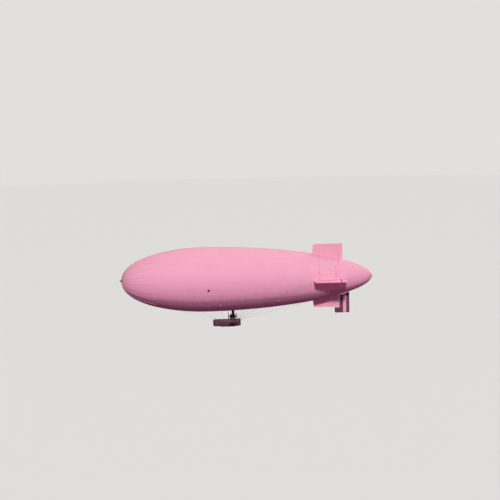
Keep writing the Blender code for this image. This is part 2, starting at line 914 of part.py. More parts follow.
def rounded_rectangle(centre, length, width, corner):
    """Points of a rectangle with round corners, counter-clockwise."""
    x, y = length / 2 - corner, width / 2 - corner
    points = []
    for sx, sy, start in ((1, 1, 0), (-1, 1, 90), (-1, -1, 180), (1, -1, 270)):
        points += arc((centre[0] + sx * x, centre[1] + sy * y), corner, start, start + 90, 4)
    return points


def build_deck():
    """The top of the car, with a rim standing round each cockpit and a hole for the tank."""
    starboard = [(x, half) for x, half, _bottom, _bilge in CAR_SECTIONS]
    outline = starboard + [(x, -half) for x, half in reversed(starboard)]

    def place(x, y, side):
        return Vector((x, y, CAR_RIM - CAR_WALL / 2 + side))

    deck = plate("car_deck", outline, place, lambda _u, _v: CAR_WALL / 2, car_skin())
    for x in COCKPIT_CENTRES:
        outer = rounded_rectangle(
            (x, 0),
            COCKPIT_LENGTH + 2 * COAMING_WIDTH,
            COCKPIT_WIDTH + 2 * COAMING_WIDTH,
            COCKPIT_CORNER + COAMING_WIDTH,
        )
        coaming = plate(
            "coaming",
            outer,
            lambda u, v, side: place(u, v, side + COAMING_RAISE),
            lambda _u, _v: COAMING_HEIGHT / 2,
            car_skin(),
        )
        combine(deck, coaming, "UNION")
    openings = [
        rounded_rectangle((x, 0), COCKPIT_LENGTH, COCKPIT_WIDTH, COCKPIT_CORNER)
        for x in COCKPIT_CENTRES
    ]
    openings.append(
        rounded_rectangle(
            (TANK_X, 0), 2 * TANK_RADIUS + TANK_ROOM, TANK_LENGTH + 2 * TANK_ROOM, 2 * TANK_ROOM
        )
    )
    for opening in openings:
        cutter = plate("opening", opening, place, lambda _u, _v: 2 * COAMING_HEIGHT, car_skin())
        combine(deck, cutter, "DIFFERENCE")
    smooth(deck, 30)


def build_seats():
    floor = CAR_SECTIONS[3][2] + CAR_WALL + SEAT_GAP
    lean = Matrix.Rotation(math.radians(SEAT_LEAN), 4, "Y")
    for label, x in zip(COCKPITS, COCKPIT_CENTRES):
        pieces = []
        for name, start, end, inset, bottom, top, leans in SEAT_BLOCKS:
            half = SEAT_WIDTH / 2 - inset
            low = (x + start, -half, floor + bottom)
            high = (x + end, half, floor + top)
            pieces.append(block(name, low, high, wood(), turn=lean if leans else None))
        joined(f"seat_{label}", wood(), pieces)


def build_windscreens():
    lean = math.radians(WINDSCREEN_LEAN)
    corner = WINDSCREEN_CORNER
    inner = WINDSCREEN_WIDTH / 2 - corner
    outline = [
        (-WINDSCREEN_WIDTH / 2, 0.0),
        (WINDSCREEN_WIDTH / 2, 0.0),
        *arc((inner, WINDSCREEN_HEIGHT - corner), corner, 0, 90, 4),
        *arc((-inner, WINDSCREEN_HEIGHT - corner), corner, 90, 180, 4),
    ]
    base = CAR_RIM + SEAT_GAP + WINDSCREEN_FOOT
    for label, x in zip(COCKPITS, COCKPIT_CENTRES):
        foot = x - COCKPIT_LENGTH / 2 - WINDSCREEN_GAP

        def place(across, up, side, foot=foot):
            along = foot + up * math.sin(lean) + side * math.cos(lean)
            return Vector((along, across, base + up * math.cos(lean) - side * math.sin(lean)))

        plate(f"windscreen_{label}", outline, place, lambda _u, _v: WINDSCREEN_THICKNESS / 2, glass())


def wheel(hub, axle, radius, look):
    """A hand wheel: rim, four spokes and boss."""
    axle = Vector(axle).normalized()
    turn = axle.to_track_quat("Z", "Y")
    along, across = turn @ Vector((1, 0, 0)), turn @ Vector((0, 1, 0))
    hub = Vector(hub)
    rings = []
    for i in range(WHEEL_STEPS):
        angle = 2 * math.pi * (i + 0.5) / WHEEL_STEPS
        out = math.cos(angle) * along + math.sin(angle) * across
        rings.append(ring_points(hub + radius * out, out, axle, WHEEL_TUBE, 6))
    reach = WHEEL_BOSS * axle
    pieces = [rod("boss", hub - reach, hub + reach, WHEEL_BOSS, look, sides=10)]
    for out in (along, across, -along, -across):
        start, end = hub + 0.5 * WHEEL_BOSS * out + 0.3 * reach, hub + radius * out
        pieces.append(rod("spoke", start, end, SPOKE_RADIUS, look, sides=7))
    pieces.append(skin("rim", rings, look, loop=True))
    return pieces


def build_controls():
    floor = CAR_SECTIONS[3][2] + CAR_WALL + SEAT_GAP
    front, middle = COCKPIT_CENTRES[:2]
    look = dark_metal()
    tilt = math.radians(RUDDER_WHEEL_TILT)
    hub = Vector((front - RUDDER_WHEEL_AHEAD, 0, floor + RUDDER_WHEEL_HEIGHT))
    foot = Vector((hub.x - 1.5 * COLUMN_RADIUS, 0, floor))
    top = Vector((foot.x, 0, hub.z - WHEEL_TUBE))
    column = rod("column", foot, top, COLUMN_RADIUS, look, sides=9)
    rudder = wheel(hub, (math.cos(tilt), 0, math.sin(tilt)), RUDDER_WHEEL_RADIUS, look)
    joined("rudder_wheel", look, [*rudder, column])
    hub = Vector((middle - ELEVATOR_WHEEL_AHEAD, ELEVATOR_WHEEL_Y, floor + ELEVATOR_WHEEL_HEIGHT))
    foot = Vector((hub.x, ELEVATOR_POST_Y, floor))
    top = Vector((hub.x, ELEVATOR_POST_Y, hub.z + 2 * WHEEL_TUBE))
    post = rod("post", foot, top, COLUMN_RADIUS, look)
    inner = Vector((hub.x, ELEVATOR_POST_Y - SPOKE_RADIUS, hub.z))
    shaft = rod("shaft", inner, hub + Vector((0, SPOKE_RADIUS, 0)), 2 * SPOKE_RADIUS, look)
    elevator = wheel(hub, (0, 1, 0), ELEVATOR_WHEEL_RADIUS, look)
    joined("elevator_wheel", look, [*elevator, shaft, post])
    build_board(middle - COCKPIT_LENGTH / 2 - BOARD_AHEAD)


def build_board(fore):
    """Instruments hung under the deck ahead of the middle cockpit."""
    top = CAR_RIM - CAR_WALL - SEAT_GAP
    half = BOARD_WIDTH / 2
    low, high = (fore, -half, top - BOARD_HEIGHT), (fore + BOARD_THICKNESS, half, top)
    pieces = [block("board", low, high, wood())]
    for y in DIALS_AT:
        start = Vector((fore + BOARD_THICKNESS / 2, y, top - BOARD_HEIGHT / 2))
        end = start + Vector((1.5 * BOARD_THICKNESS, 0, 0))
        pieces.append(rod("dial", start, end, DIAL_RADIUS, dark_metal(), sides=16))
    joined("instrument_board", wood(), pieces)


def build_tank():
    centre = TANK_TOP - TANK_RADIUS
    half = TANK_LENGTH / 2
    ends = [Vector((TANK_X, y, centre)) for y in (-half, half)]
    drum = rod("drum", *ends, TANK_RADIUS, car_skin(), sides=24)
    low = Vector((TANK_X, 0, TANK_TOP - TANK_CAP_RADIUS / 2))
    high = Vector((TANK_X, 0, TANK_TOP + TANK_CAP_RADIUS))
    cap = rod("cap", low, high, TANK_CAP_RADIUS, dark_metal(), sides=10)
    reach = TANK_RADIUS + TANK_STRAP_END
    foot, top = CAR_RIM + SEAT_GAP, CAR_RIM + TANK_STRAP_HEIGHT
    straps = []
    for y in TANK_STRAPS:
        port, starboard = y - TANK_STRAP_WIDTH / 2, y + TANK_STRAP_WIDTH / 2
        low, high = (TANK_X - reach, port, foot), (TANK_X + reach, starboard, top)
        straps.append(block("strap", low, high, car_skin()))
    smooth(joined("fuel_tank", car_skin(), [drum, cap, *straps]))


def build_bumper():
    """An air bag under the floor that takes the landing."""
    top = CAR_SECTIONS[3][2] - SEAT_GAP
    rings = []
    for i in range(BUMPER_STEPS + 1):
        share = i / BUMPER_STEPS
        x = BUMPER_START + (BUMPER_END - BUMPER_START) * share
        full = max(1 - (2 * share - 1) ** 4, BUMPER_END_SHARE) ** 0.5
        half, depth = BUMPER_WIDTH / 2 * full, BUMPER_DEPTH * full
        rings.append([Vector((x, a * half, top - b * depth)) for a, b in BUMPER_SECTION])
    smooth(skin("bumper", rings, rubbered()), 50)


# Engines


def build_engine(side, sign):
    look = dark_metal()
    y = sign * ENGINE_Y
    feet = RAIL_OFFSET + RAIL_SIZE / 2
    low = (ENGINE_FEET[0], y - feet, RAIL_TOP + SEAT_GAP)
    high = (ENGINE_FEET[1], y + feet, RAIL_TOP + FOOT_HEIGHT)
    pieces = []
    for name, start, end, half, bottom, top in ENGINE_BLOCKS:
        corner = (start, y - half, SHAFT_Z + bottom)
        pieces.append(block(name, corner, (end, y + half, SHAFT_Z + top), look))
    pieces.insert(2, block("feet", low, high, look))
    for name, start, end, start_z, end_z, radius, sides in ENGINE_RODS:
        fore, aft = Vector((start, y, SHAFT_Z + start_z)), Vector((end, y, SHAFT_Z + end_z))
        pieces.append(rod(name, fore, aft, radius, look, sides=sides))
    for bank in (-1, 1):
        pieces += cylinder_bank(y, bank, look)
    smooth(joined(f"engine_{side}", look, pieces))


def cylinder_bank(y, bank, look):
    """Four cylinders that lean out to one side, with their exhaust pipe."""
    tilt = math.radians(bank * BANK_ANGLE)
    out = Vector((0, math.sin(tilt), math.cos(tilt)))
    across = Vector((0, math.cos(tilt), -math.sin(tilt))) * bank
    pieces = []
    for x in CYLINDER_STATIONS:
        axle = Vector((x, y, SHAFT_Z))
        for name, start, end, radius, sides in CYLINDER_RODS:
            pieces.append(rod(name, axle + start * out, axle + end * out, radius, look, sides=sides))
        port = axle + STUB_AT * out
        pieces.append(rod("stub", port, port + STUB_LENGTH * across, STUB_RADIUS, look, sides=6))
    pipe = Vector((0, y, SHAFT_Z)) + STUB_AT * out + STUB_LENGTH * across
    ends = [pipe + Vector((x, 0, 0)) for x in (EXHAUST_START, EXHAUST_END)]
    pieces.append(rod("exhaust", *ends, EXHAUST_RADIUS, look))
    return pieces


def build_radiator(side, sign):
    y = sign * ENGINE_Y
    look = dark_metal()
    half = RADIATOR_WIDTH / 2
    foot = RAIL_TOP + SEAT_GAP
    top = foot + RADIATOR_HEIGHT
    core = block("core", (RADIATOR_START, y - half, foot), (RADIATOR_END, y + half, top), look)
    middle = (RADIATOR_START + RADIATOR_END) / 2
    reach = half + RAIL_SIZE / 6
    ends = [Vector((middle, y - reach, top)), Vector((middle, y + reach, top))]
    header = rod("header", *ends, HEADER_RADIUS, look, sides=10)
    smooth(joined(f"radiator_{side}", look, [core, header]))


def build_propeller(side, sign):
    """Two wooden blades with their pitch, on a bored hub that turns on the engine's shaft."""
    centre = Vector((PROPELLER_X, sign * ENGINE_Y, SHAFT_Z))
    look = wood()
    fore, aft = centre - Vector((HUB_FORE, 0, 0)), centre + Vector((HUB_AFT, 0, 0))
    pieces = [rod("hub", fore, aft, HUB_RADIUS, look, sides=16)]
    pieces += [blade(centre, way, way * sign, look) for way in (-1, 1)]
    propeller = joined(f"propeller_{side}", look, pieces)
    reach = Vector((2 * HUB_RADIUS, 0, 0))
    bore = rod(
        "bore", centre - reach, centre + reach, bore_radius(SHAFT_RADIUS), look, sides=BEARING_SIDES
    )
    smooth(combine(propeller, bore, "DIFFERENCE"))
    set_origin(propeller, centre)


def blade(centre, way, hand, look):
    """A blade up or down from the hub, its pitch turned by its hand."""
    rings = []
    for radius, chord, depth, pitch in BLADE_STATIONS:
        turn = math.radians(pitch)
        broad = chord / 2 * Vector((math.sin(turn), hand * math.cos(turn), 0))
        thick = depth / 2 * Vector((math.cos(turn), -hand * math.sin(turn), 0))
        middle = centre + Vector((0, 0, way * radius))
        rings.append([middle + a * broad + b * thick for a, b in BLADE_SECTION])
    return skin("blade", rings, look)


def build_outrigger(side, sign, cutter):
    """Bearer rails on two tube frames, a foot on the car's side and a stay up to the envelope."""
    look = dark_metal()
    y = sign * ENGINE_Y
    beam_z = CAR_RIM + SEAT_GAP + TUBE_RADIUS
    outer = sign * (ENGINE_Y + RAIL_OFFSET + BEAM_BEYOND_RAIL)
    pieces = []
    for offset in (-RAIL_OFFSET, RAIL_OFFSET):
        port, starboard = y + offset - RAIL_SIZE / 2, y + offset + RAIL_SIZE / 2
        low, high = (RAIL_START, port, RAIL_TOP - RAIL_SIZE), (RAIL_END, starboard, RAIL_TOP)
        pieces.append(block("rail", low, high, look))
    for x in FRAME_STATIONS:
        start, end = (x, sign * BEAM_START, beam_z), (x, outer, beam_z)
        pieces.append(rod("beam", start, end, TUBE_RADIUS, look))
        pieces += brace(x, sign, (x, outer - sign * BEAM_BEYOND_RAIL, beam_z), look)
    fore, aft = FRAME_STATIONS
    start, end = (fore, sign * DIAGONAL_START, beam_z), (aft, y, beam_z)
    pieces.append(rod("diagonal", start, end, DIAGONAL_RADIUS, look))
    ends = [(x, outer - sign * BRACE_RADIUS * 0.7, beam_z) for x in FRAME_STATIONS]
    pieces += stays(ends, *ENGINE_STAY_PATCH, sign)
    outrigger = joined(f"outrigger_{side}", look, pieces)
    combine(outrigger, cutter, "DIFFERENCE", keep_tool=True)
    smooth(outrigger)


def brace(x, sign, head, look):
    """A strut up from a plate on the car's side to a beam."""
    car_side = CAR_SECTIONS[3][1]
    length, depth, height = BRACE_PLATE
    inner, outer = sorted((sign * (car_side + SEAT_GAP), sign * (car_side + depth)))
    low = (x - length / 2, inner, BRACE_FOOT - height / 2)
    high = (x + length / 2, outer, BRACE_FOOT + height / 2)
    foot = (x, sign * (car_side + 0.7 * depth), BRACE_FOOT)
    return [rod("strut", foot, head, BRACE_RADIUS, look), block("foot", low, high, look)]


# Suspension and air duct


def stays(starts, distance, angle, sign):
    """Taut lines from the car up to one patch on the envelope."""
    around = angle if sign > 0 else 180.0 - angle
    foot, normal = on_hull(distance, around)
    tip = foot + PATCH_HEIGHT / 2 * normal
    middle = sum((Vector(start) for start in starts), Vector()) / len(starts)
    run = middle - tip
    flat = (run - run.dot(normal) * normal).normalized()
    across = normal.cross(flat)
    far, near = -0.6 * PATCH_LENGTH, 0.4 * PATCH_LENGTH
    broad, narrow = PATCH_WIDTH / 2, PATCH_WIDTH / 5
    outline = [(far, -broad), (near, -narrow), (near, narrow), (far, broad)]

    def place(u, v, side):
        return foot + u * flat + v * across + (side - PATCH_SINK) * normal

    patch = plate("patch", outline, place, lambda _u, _v: PATCH_HEIGHT + PATCH_SINK, fabric())
    lines = [rod("line", start, tip, STAY_RADIUS, dark_metal(), sides=6) for start in starts]
    return [*lines, patch]


def build_suspension(side, sign, cutter):
    look = dark_metal()
    z = LONGERON_HEIGHT
    y = sign * (CAR_SECTIONS[3][1] + SEAT_GAP + LONGERON_RADIUS)
    pieces = [rod("longeron", (LONGERON_START, y, z), (LONGERON_END, y, z), LONGERON_RADIUS, look)]
    for x, distance, angle in STAYS:
        pieces += stays([(x, y, z)], distance, angle, sign)
    suspension = joined(f"suspension_{side}", look, pieces)
    combine(suspension, cutter, "DIFFERENCE", keep_tool=True)
    smooth(suspension)


def build_duct(cutter):
    look = dark_metal()
    top = (DUCT_X, 0, DUCT_RADIUS - HULL_RADIUS)
    duct = rod("air_duct", top, (DUCT_X, 0, DUCT_BOTTOM), DUCT_RADIUS, look, sides=24)
    combine(duct, cutter, "DIFFERENCE", keep_tool=True)
    smooth(duct)
    build_scoop()


def build_scoop():
    """A box under the duct with a branch to an open mouth behind each propeller."""
    look = dark_metal()
    top = Vector((DUCT_X, 0, DUCT_BOTTOM - SEAT_GAP))
    foot = Vector((DUCT_X, 0, CAR_RIM + SEAT_GAP))
    middle = top - Vector((0, 0, SCOOP_DROP))
    pieces = [rod("drop", top, foot, DROP_TOP_RADIUS, look, sides=20, end_radius=DROP_FOOT_RADIUS)]
    hollows = []
    for sign in (-1, 1):
        bend = middle + Vector((-SCOOP_BEND_AHEAD, sign * SCOOP_BEND_Y, 0))
        mouth = Vector((SCOOP_MOUTH_X, sign * SCOOP_Y, middle.z + SCOOP_MOUTH_RISE))
        overlap = bend + Vector((1.5 * SCOOP_BEND_AHEAD, 0, 0))
        pieces.append(rod("branch", middle, bend, SCOOP_BRANCH_RADIUS, look, sides=14))
        pieces.append(
            rod(
                "throat",
                overlap,
                mouth,
                SCOOP_THROAT_RADIUS,
                look,
                sides=16,
                end_radius=SCOOP_MOUTH_RADIUS,
            )
        )
        run = (bend - mouth).normalized()
        hollows.append(
            rod(
                "hollow",
                mouth - SCOOP_WALL * run,
                mouth + SCOOP_DEPTH * run,
                SCOOP_MOUTH_RADIUS - SCOOP_WALL,
                look,
                sides=16,
                end_radius=SCOOP_HOLLOW_END,
            )
        )
    scoop = joined("air_scoop", look, pieces)
    for hollow in hollows:
        combine(scoop, hollow, "DIFFERENCE")
    smooth(scoop)


def main():
    clear_scene()
    cutter = hull_cutter()
    build_envelope()
    build_nose(cutter)
    build_tail_cap()
    build_valves(cutter)
    build_tail(cutter)
    build_car()
    build_seats()
    build_windscreens()
    build_controls()
    build_tank()
    build_bumper()
    for side, sign in SIDES.items():
        build_engine(side, sign)
        build_radiator(side, sign)
        build_propeller(side, sign)
        build_outrigger(side, sign, cutter)
        build_suspension(side, sign, cutter)
    build_duct(cutter)
    bpy.data.objects.remove(cutter, do_unlink=True)


main()
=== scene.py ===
"""The looks of a pressure airship, a 1:2 scale model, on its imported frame."""

import json
import math
from contextlib import contextmanager

import bmesh
import bpy
from bpy.props import FloatProperty, FloatVectorProperty, IntProperty, PointerProperty
from mathutils import Euler, Matrix, Vector

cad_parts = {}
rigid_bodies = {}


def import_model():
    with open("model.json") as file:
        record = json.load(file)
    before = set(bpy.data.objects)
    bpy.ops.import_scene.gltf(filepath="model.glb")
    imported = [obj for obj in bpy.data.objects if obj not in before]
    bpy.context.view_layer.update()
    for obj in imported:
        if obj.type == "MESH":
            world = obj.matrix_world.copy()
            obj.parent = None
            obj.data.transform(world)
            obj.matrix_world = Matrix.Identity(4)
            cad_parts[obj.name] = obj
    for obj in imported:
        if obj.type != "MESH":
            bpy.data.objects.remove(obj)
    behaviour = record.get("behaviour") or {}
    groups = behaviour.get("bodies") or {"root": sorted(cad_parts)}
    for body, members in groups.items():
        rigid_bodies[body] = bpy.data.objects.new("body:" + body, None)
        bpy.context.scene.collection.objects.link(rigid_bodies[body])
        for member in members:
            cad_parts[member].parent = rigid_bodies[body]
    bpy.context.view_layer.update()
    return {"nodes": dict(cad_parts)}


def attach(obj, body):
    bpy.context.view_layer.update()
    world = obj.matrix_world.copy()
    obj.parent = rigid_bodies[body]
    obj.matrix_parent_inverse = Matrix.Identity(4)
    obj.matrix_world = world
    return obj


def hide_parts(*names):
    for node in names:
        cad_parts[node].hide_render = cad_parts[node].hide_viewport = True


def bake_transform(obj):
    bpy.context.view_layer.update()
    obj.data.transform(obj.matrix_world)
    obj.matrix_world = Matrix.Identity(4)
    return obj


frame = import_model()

bl_info = {
    "name": "Pressure Airship", "version": (1, 0, 0), "blender": (4, 5, 0),
    "location": "View3D > Sidebar > Airship",
    "description": "Dresses the frame of a 1:2 scale pressure airship", "category": "Object"
}

# The envelope's profile, as in the part
HULL_LENGTH = 20.72
HULL_RADIUS = 2.67
WIDEST_AT = 6.97
NOSE_FULLNESS = 0.463
TAIL_POWER = 1.84
TAIL_FULLNESS = 0.528
ORIGIN_AT = 9.25
NOSE_OPENING = 0.15
TAIL_OPENING = 0.10
COLUMNS_A_GORE = 6

SIDES = {"port": -1, "starboard": 1}
FULL_TURN = 2 * math.pi
AFT, STARBOARD, UP = (1, 0, 0), (0, 1, 0), (0, 0, 1)

# Nose
NOSE_RING_RADIUS = 0.30
BATTEN_COUNT = 20
BATTEN_WIDTH = 0.045
BATTEN_END = 2.87
SLEEVE_STATIONS = (0.16, 0.42, 0.74, 1.10, 1.50, 1.94, 2.38, 2.72)

# Tail surfaces
FIN_START = 15.76
FIN_RAKE = 0.11
FIN_CORNER = 0.20
FIN_DEPTH = 0.12
FIN_TIP_DEPTH = 0.07
FIN_RIBS = 6
FIN_SPARS = 5
FIN_END = 17.995
TOP_FIN_END = 18.29
HINGE_AT = 18.04
SIDE_FIN_HEIGHT = 2.75
PANEL_DEPTH = 0.05
EDGE_DEPTH = 0.016
RUDDER_CHORD = 0.80
RUDDER_BAYS = 8
RUDDER_BOTTOM = 3.06
RUDDER_BALANCE = 0.43
RUDDER_BALANCE_TOP = 2.62
RUDDER_HINGES = (1.72, 2.10, 2.48)
ELEVATOR_CHORD = 0.45
ELEVATOR_BAYS = 6
ELEVATOR_HINGES = (1.62, 2.12, 2.62)

# Car: sections from bow to stern, as x, half width, bottom, bilge radius
CAR_RIM = -3.46
CAR_FLOOR = -3.9576
CAR_SECTIONS = (
    (-1.76, 0.13, -3.88, 0.05), (-1.72, 0.19, -3.94, 0.07), (-1.63, 0.245, -3.97, 0.10),
    (-1.25, 0.27, -3.97, 0.11), (0.20, 0.27, -3.97, 0.11), (0.40, 0.235, -3.95, 0.10),
    (0.50, 0.19, -3.92, 0.08), (0.53, 0.15, -3.89, 0.06)
)
STRAP_STATIONS = (-1.26, -0.93, -0.56, -0.20, 0.16)
STRAP_WIDTH = 0.028
STRAKE_Z = -3.845
DECK_CROWN = 0.006
COCKPITS = {"front": -1.46, "middle": -1.10, "rear": -0.74}
COCKPIT_LENGTH = 0.26
COCKPIT_WIDTH = 0.36
COCKPIT_CORNER = 0.07
SEAT_LEAN = math.radians(12)
BUTTONS = ((-0.02, -0.07), (-0.02, 0), (-0.02, 0.07), (0.06, -0.07), (0.06, 0), (0.06, 0.07))
BOARD_X = -1.255
DIALS_AT = (-0.10, -0.03, 0.04, 0.11)
TANK_X = 0.385
TANK_TOP = -3.37
TANK_RADIUS = 0.11
TANK_WIDTH = 0.32
TANK_STRAPS = (-0.10, 0.10)
BAG_STRAPS = (-0.90, -0.54, -0.18)
STEP_PATH = (
    (-0.97, 0.268, -3.72), (-0.97, 0.300, -3.73), (-0.97, 0.305, -3.80), (-0.87, 0.305, -3.80),
    (-0.87, 0.300, -3.73), (-0.87, 0.268, -3.72)
)
GRAB_RAIL = (
    (-0.56, 0.236, -3.462), (-0.52, 0.236, -3.425), (-0.38, 0.236, -3.424), (-0.24, 0.236, -3.425),
    (-0.20, 0.236, -3.462)
)

# Power
ENGINE_Y = 0.92
SHAFT_Z = -3.36
BEAM_STATIONS = (-0.30, 0.12)
RADIATOR_FORE = 0.187
RADIATOR_AFT = 0.223
RADIATOR_WIDTH = 0.216
RADIATOR_HEIGHT = 0.25
BORE = 0.0145
BEARER_OFFSETS = (-0.085, 0.085)
PROPELLER_X = -0.49
RAIL_TOP = -3.41
CYLINDER_STATIONS = (-0.33, -0.22, -0.11, 0.00)
BLADE_STATIONS = (
    (0.02, 0.045, 0.045, 55), (0.10, 0.060, 0.034, 48), (0.24, 0.085, 0.024, 32),
    (0.42, 0.078, 0.014, 20), (0.54, 0.055, 0.009, 16), (0.58, 0.022, 0.006, 15)
)
BLADE_SECTION = (
    (-0.80, -0.22), (-1.00, 0.05), (-0.82, 0.55), (-0.45, 0.95), (0.00, 1.00), (0.45, 0.80), (0.80, 0.38),
    (1.00, 0.00), (0.80, -0.18), (0.45, -0.40), (0.00, -0.50), (-0.45, -0.42)
)

# Air duct: its place, the height of its branches, and a bay's heights and radii
DUCT_X = -0.09
BRANCH_Z = -3.2404
DUCT_BAY = ((0, 0.1145), (0.010, 0.1150), (0.022, 0.1125), (0.047, 0.108), (0.075, 0.1125))

# Rigging: start on the car's rail, distance of the patch from the nose, its angle
STAYS = (
    (-1.45, 4.70, -62.0), (-1.10, 6.20, -54.0), (-0.70, 7.60, -50.0), (0.17, 10.40, -50.0),
    (0.22, 11.50, -54.0), (0.28, 12.70, -62.0)
)
ENGINE_STAY = (9.20, -45.0)
STAY_RAIL = (0.2824, -3.495)
QUADRANT_RADIUS = 0.110
CABLE_END = 0.16
CABLE_Y = 0.1125
CABLE_RADIUS = 0.0025
RUDDER_CABLE = 1.90
ELEVATOR_CABLE = 1.87
FIN_BRACES = ((0.30, 36), (0.75, 20))
HANDLING_PATCHES = ((3.9, -22.0), (6.15, -24.0), (8.30, -24.0), (11.10, -24.0), (13.6, -22.0))
ELEVATOR_ROUTE = (
    (15.6, -7.0), (14.7, -13.0), (13.8, -21.0), (12.9, -30.0), (12.0, -40.0), (11.2, -51.0), (10.5, -62.0)
)

# Fins: node, tip height, end, turn about the envelope's axis, hinge heights
FINS = (
    ("fin_top", 2.75, TOP_FIN_END, 0, ()), ("fin_bottom", 2.56, FIN_END, 180, RUDDER_HINGES),
    ("fin_port", SIDE_FIN_HEIGHT, FIN_END, 90, ELEVATOR_HINGES),
    ("fin_starboard", SIDE_FIN_HEIGHT, FIN_END, -90, ELEVATOR_HINGES)
)


# Stage: where the lamps stand, how far they spread in degrees, and the colours behind
KEY_SPREAD = 5.0
FILL_FROM = (0.5, 0.75, 0.65)
FILL_SPREAD = 40.0
SKY_BELOW = (0.25, 0.108, 0.195, 1)
SKY_ABOVE = (0.15, 0.15, 0.15, 1)
BACKDROP = (0.762, 0.745, 0.730, 1)
FLOOR_COLOUR = (0.715, 0.700, 0.686, 1)
FLOOR_RADIUS = 900.0


# Modelling tools


# Each axis of a lathe, and the direction in which its profile is drawn
AXES = {"X": (AFT, STARBOARD), "Y": (STARBOARD, UP), "Z": (UP, AFT)}


def settle():
    """Leaves edit mode with nothing selected."""
    if bpy.context.mode != "OBJECT":
        bpy.ops.object.mode_set(mode="OBJECT")
    bpy.ops.object.select_all(action="DESELECT")


def take(*pieces):
    """Selects pieces alone, the first one active."""
    settle()
    for piece in pieces:
        piece.select_set(True)
    bpy.context.view_layer.objects.active = pieces[0]
    return pieces[0]


@contextmanager
def bench(target):
    """An edit-mode session on a piece, or on a new empty one of that name."""
    if isinstance(target, str):
        settle()
        bpy.ops.object.add(type="MESH")
        name, target = target, bpy.context.object
        target.name = target.data.name = name
    take(target)
    bpy.ops.object.mode_set(mode="EDIT")
    bpy.ops.mesh.select_mode(type="VERT")
    yield target
    bpy.ops.object.mode_set(mode="OBJECT")


def pick(piece, kind, test):
    """Selects only the verts, edges or faces of the open piece that pass a test."""
    bpy.ops.mesh.select_mode(type={"verts": "VERT", "edges": "EDGE", "faces": "FACE"}[kind])
    bpy.ops.mesh.select_all(action="DESELECT")
    shape = bmesh.from_edit_mesh(piece.data)
    for item in getattr(shape, kind):
        if test(item):
            item.select_set(True)
    shape.select_flush_mode()
    bmesh.update_edit_mesh(piece.data)


def push(offset):
    bpy.ops.mesh.extrude_region_move(TRANSFORM_OT_translate={"value": offset})


def resize(factors, centre=(0, 0, 0)):
    bpy.ops.transform.resize(value=factors, center_override=centre)


def chain(points, close=False):
    """Draws a line of edges from point to point, which stays selected."""
    points = [Vector(point) for point in points]
    bpy.ops.mesh.select_mode(type="VERT")
    bpy.ops.mesh.primitive_plane_add(size=0.01, location=points[0])
    bpy.ops.mesh.merge(type="CENTER")
    if close:
        points.append(points[0])
    for first, second in zip(points, points[1:]):
        push(second - first)
    bpy.ops.mesh.select_linked()
    if close:
        bpy.ops.mesh.remove_doubles(threshold=0.00001)


def lathe(profile, steps=32, axis="X", centre=(0, 0, 0), close=False):
    """Spins a profile, whose rows are a distance along the axis and a radius."""
    along, outward = (Vector(way) for way in AXES[axis])
    chain([Vector(centre) + distance * along + radius * outward for distance, radius in profile], close)
    bpy.ops.mesh.spin(steps=steps, angle=FULL_TURN, center=centre, axis=along)
    bpy.ops.mesh.select_linked()
    bpy.ops.mesh.remove_doubles(threshold=0.00001)


def stepped(start, way, steps, sides=12):
    """A round section pushed along a line; each step is a distance and the radius there."""
    start, way = Vector(start), Vector(way).normalized()
    (distance, radius), *rest = steps
    point = start + distance * way
    bpy.ops.mesh.primitive_circle_add(
        vertices=sides, radius=radius, fill_type="NGON", location=point,
        rotation=way.to_track_quat("Z", "Y").to_euler()
    )
    for distance, wanted in rest:
        target = start + distance * way
        push(target - point)
        if wanted == 0:
            bpy.ops.mesh.merge(type="CENTER")
            return
        if wanted != radius:
            resize([wanted / radius] * 3, target)
        point, radius = target, wanted


def rod(start, end, radius, sides=8, end_radius=None):
    start, end = Vector(start), Vector(end)
    steps = ((0, radius), ((end - start).length, end_radius or radius))
    stepped(start, end - start, steps, sides)


def bar(length, radius, lip, end):
    """The steps of a round bar that is drawn in at its ends, over the length of a lip."""
    return ((0, end), (lip, radius), (length - lip, radius), (length, end))


def bolt(point, way, radius):
    """A six-sided bolt, as long as its way."""
    rod(point, Vector(point) + Vector(way), radius, sides=6)


def box(low, high, edge=0.0, turn=(0, 0, 0)):
    """A block between two corners, its edges rounded."""
    low, high = Vector(low), Vector(high)
    bpy.ops.mesh.primitive_cube_add(size=1, location=(low + high) / 2, rotation=turn, scale=high - low)
    if edge:
        bpy.ops.mesh.bevel(offset=edge, segments=2, affect="EDGES")


def prism(points, depth, edge=0.0):
    """A flat outline, filled and pushed out by depth, its edges rounded."""
    chain(points, close=True)
    bpy.ops.mesh.edge_face_add()
    push(depth)
    bpy.ops.mesh.select_linked()
    if edge:
        bpy.ops.mesh.bevel(offset=edge, segments=2, affect="EDGES")


def around(count, axis="X", centre=(0, 0, 0), angle=FULL_TURN):
    """Copies the shells that are selected round an axis."""
    bpy.ops.mesh.select_linked()
    bpy.ops.mesh.spin(steps=count, angle=angle, dupli=True, center=centre, axis=AXES[axis][0])


def arc(centre, radius, start, end, steps):
    """Points of a flat arc, its angles in degrees."""
    angles = [math.radians(start + (end - start) * i / steps) for i in range(steps + 1)]
    return [(centre[0] + radius * math.cos(a), centre[1] + radius * math.sin(a)) for a in angles]


def joined(name, pieces):
    """One object of several, its place in its mesh."""
    take(*pieces)
    if len(pieces) > 1:
        bpy.ops.object.join()
    piece = bpy.context.object
    piece.name = piece.data.name = name
    bpy.ops.object.transform_apply(location=True, rotation=True, scale=True)
    return piece


def cut(point, normal):
    """Adds edges all round the open piece where a plane crosses it."""
    bpy.ops.mesh.select_all(action="SELECT")
    bpy.ops.mesh.bisect(plane_co=point, plane_no=normal)


def heading(angle):
    """The direction at an angle above +X in the XY plane, in degrees."""
    turn = math.radians(angle)
    return Vector((math.cos(turn), math.sin(turn), 0))


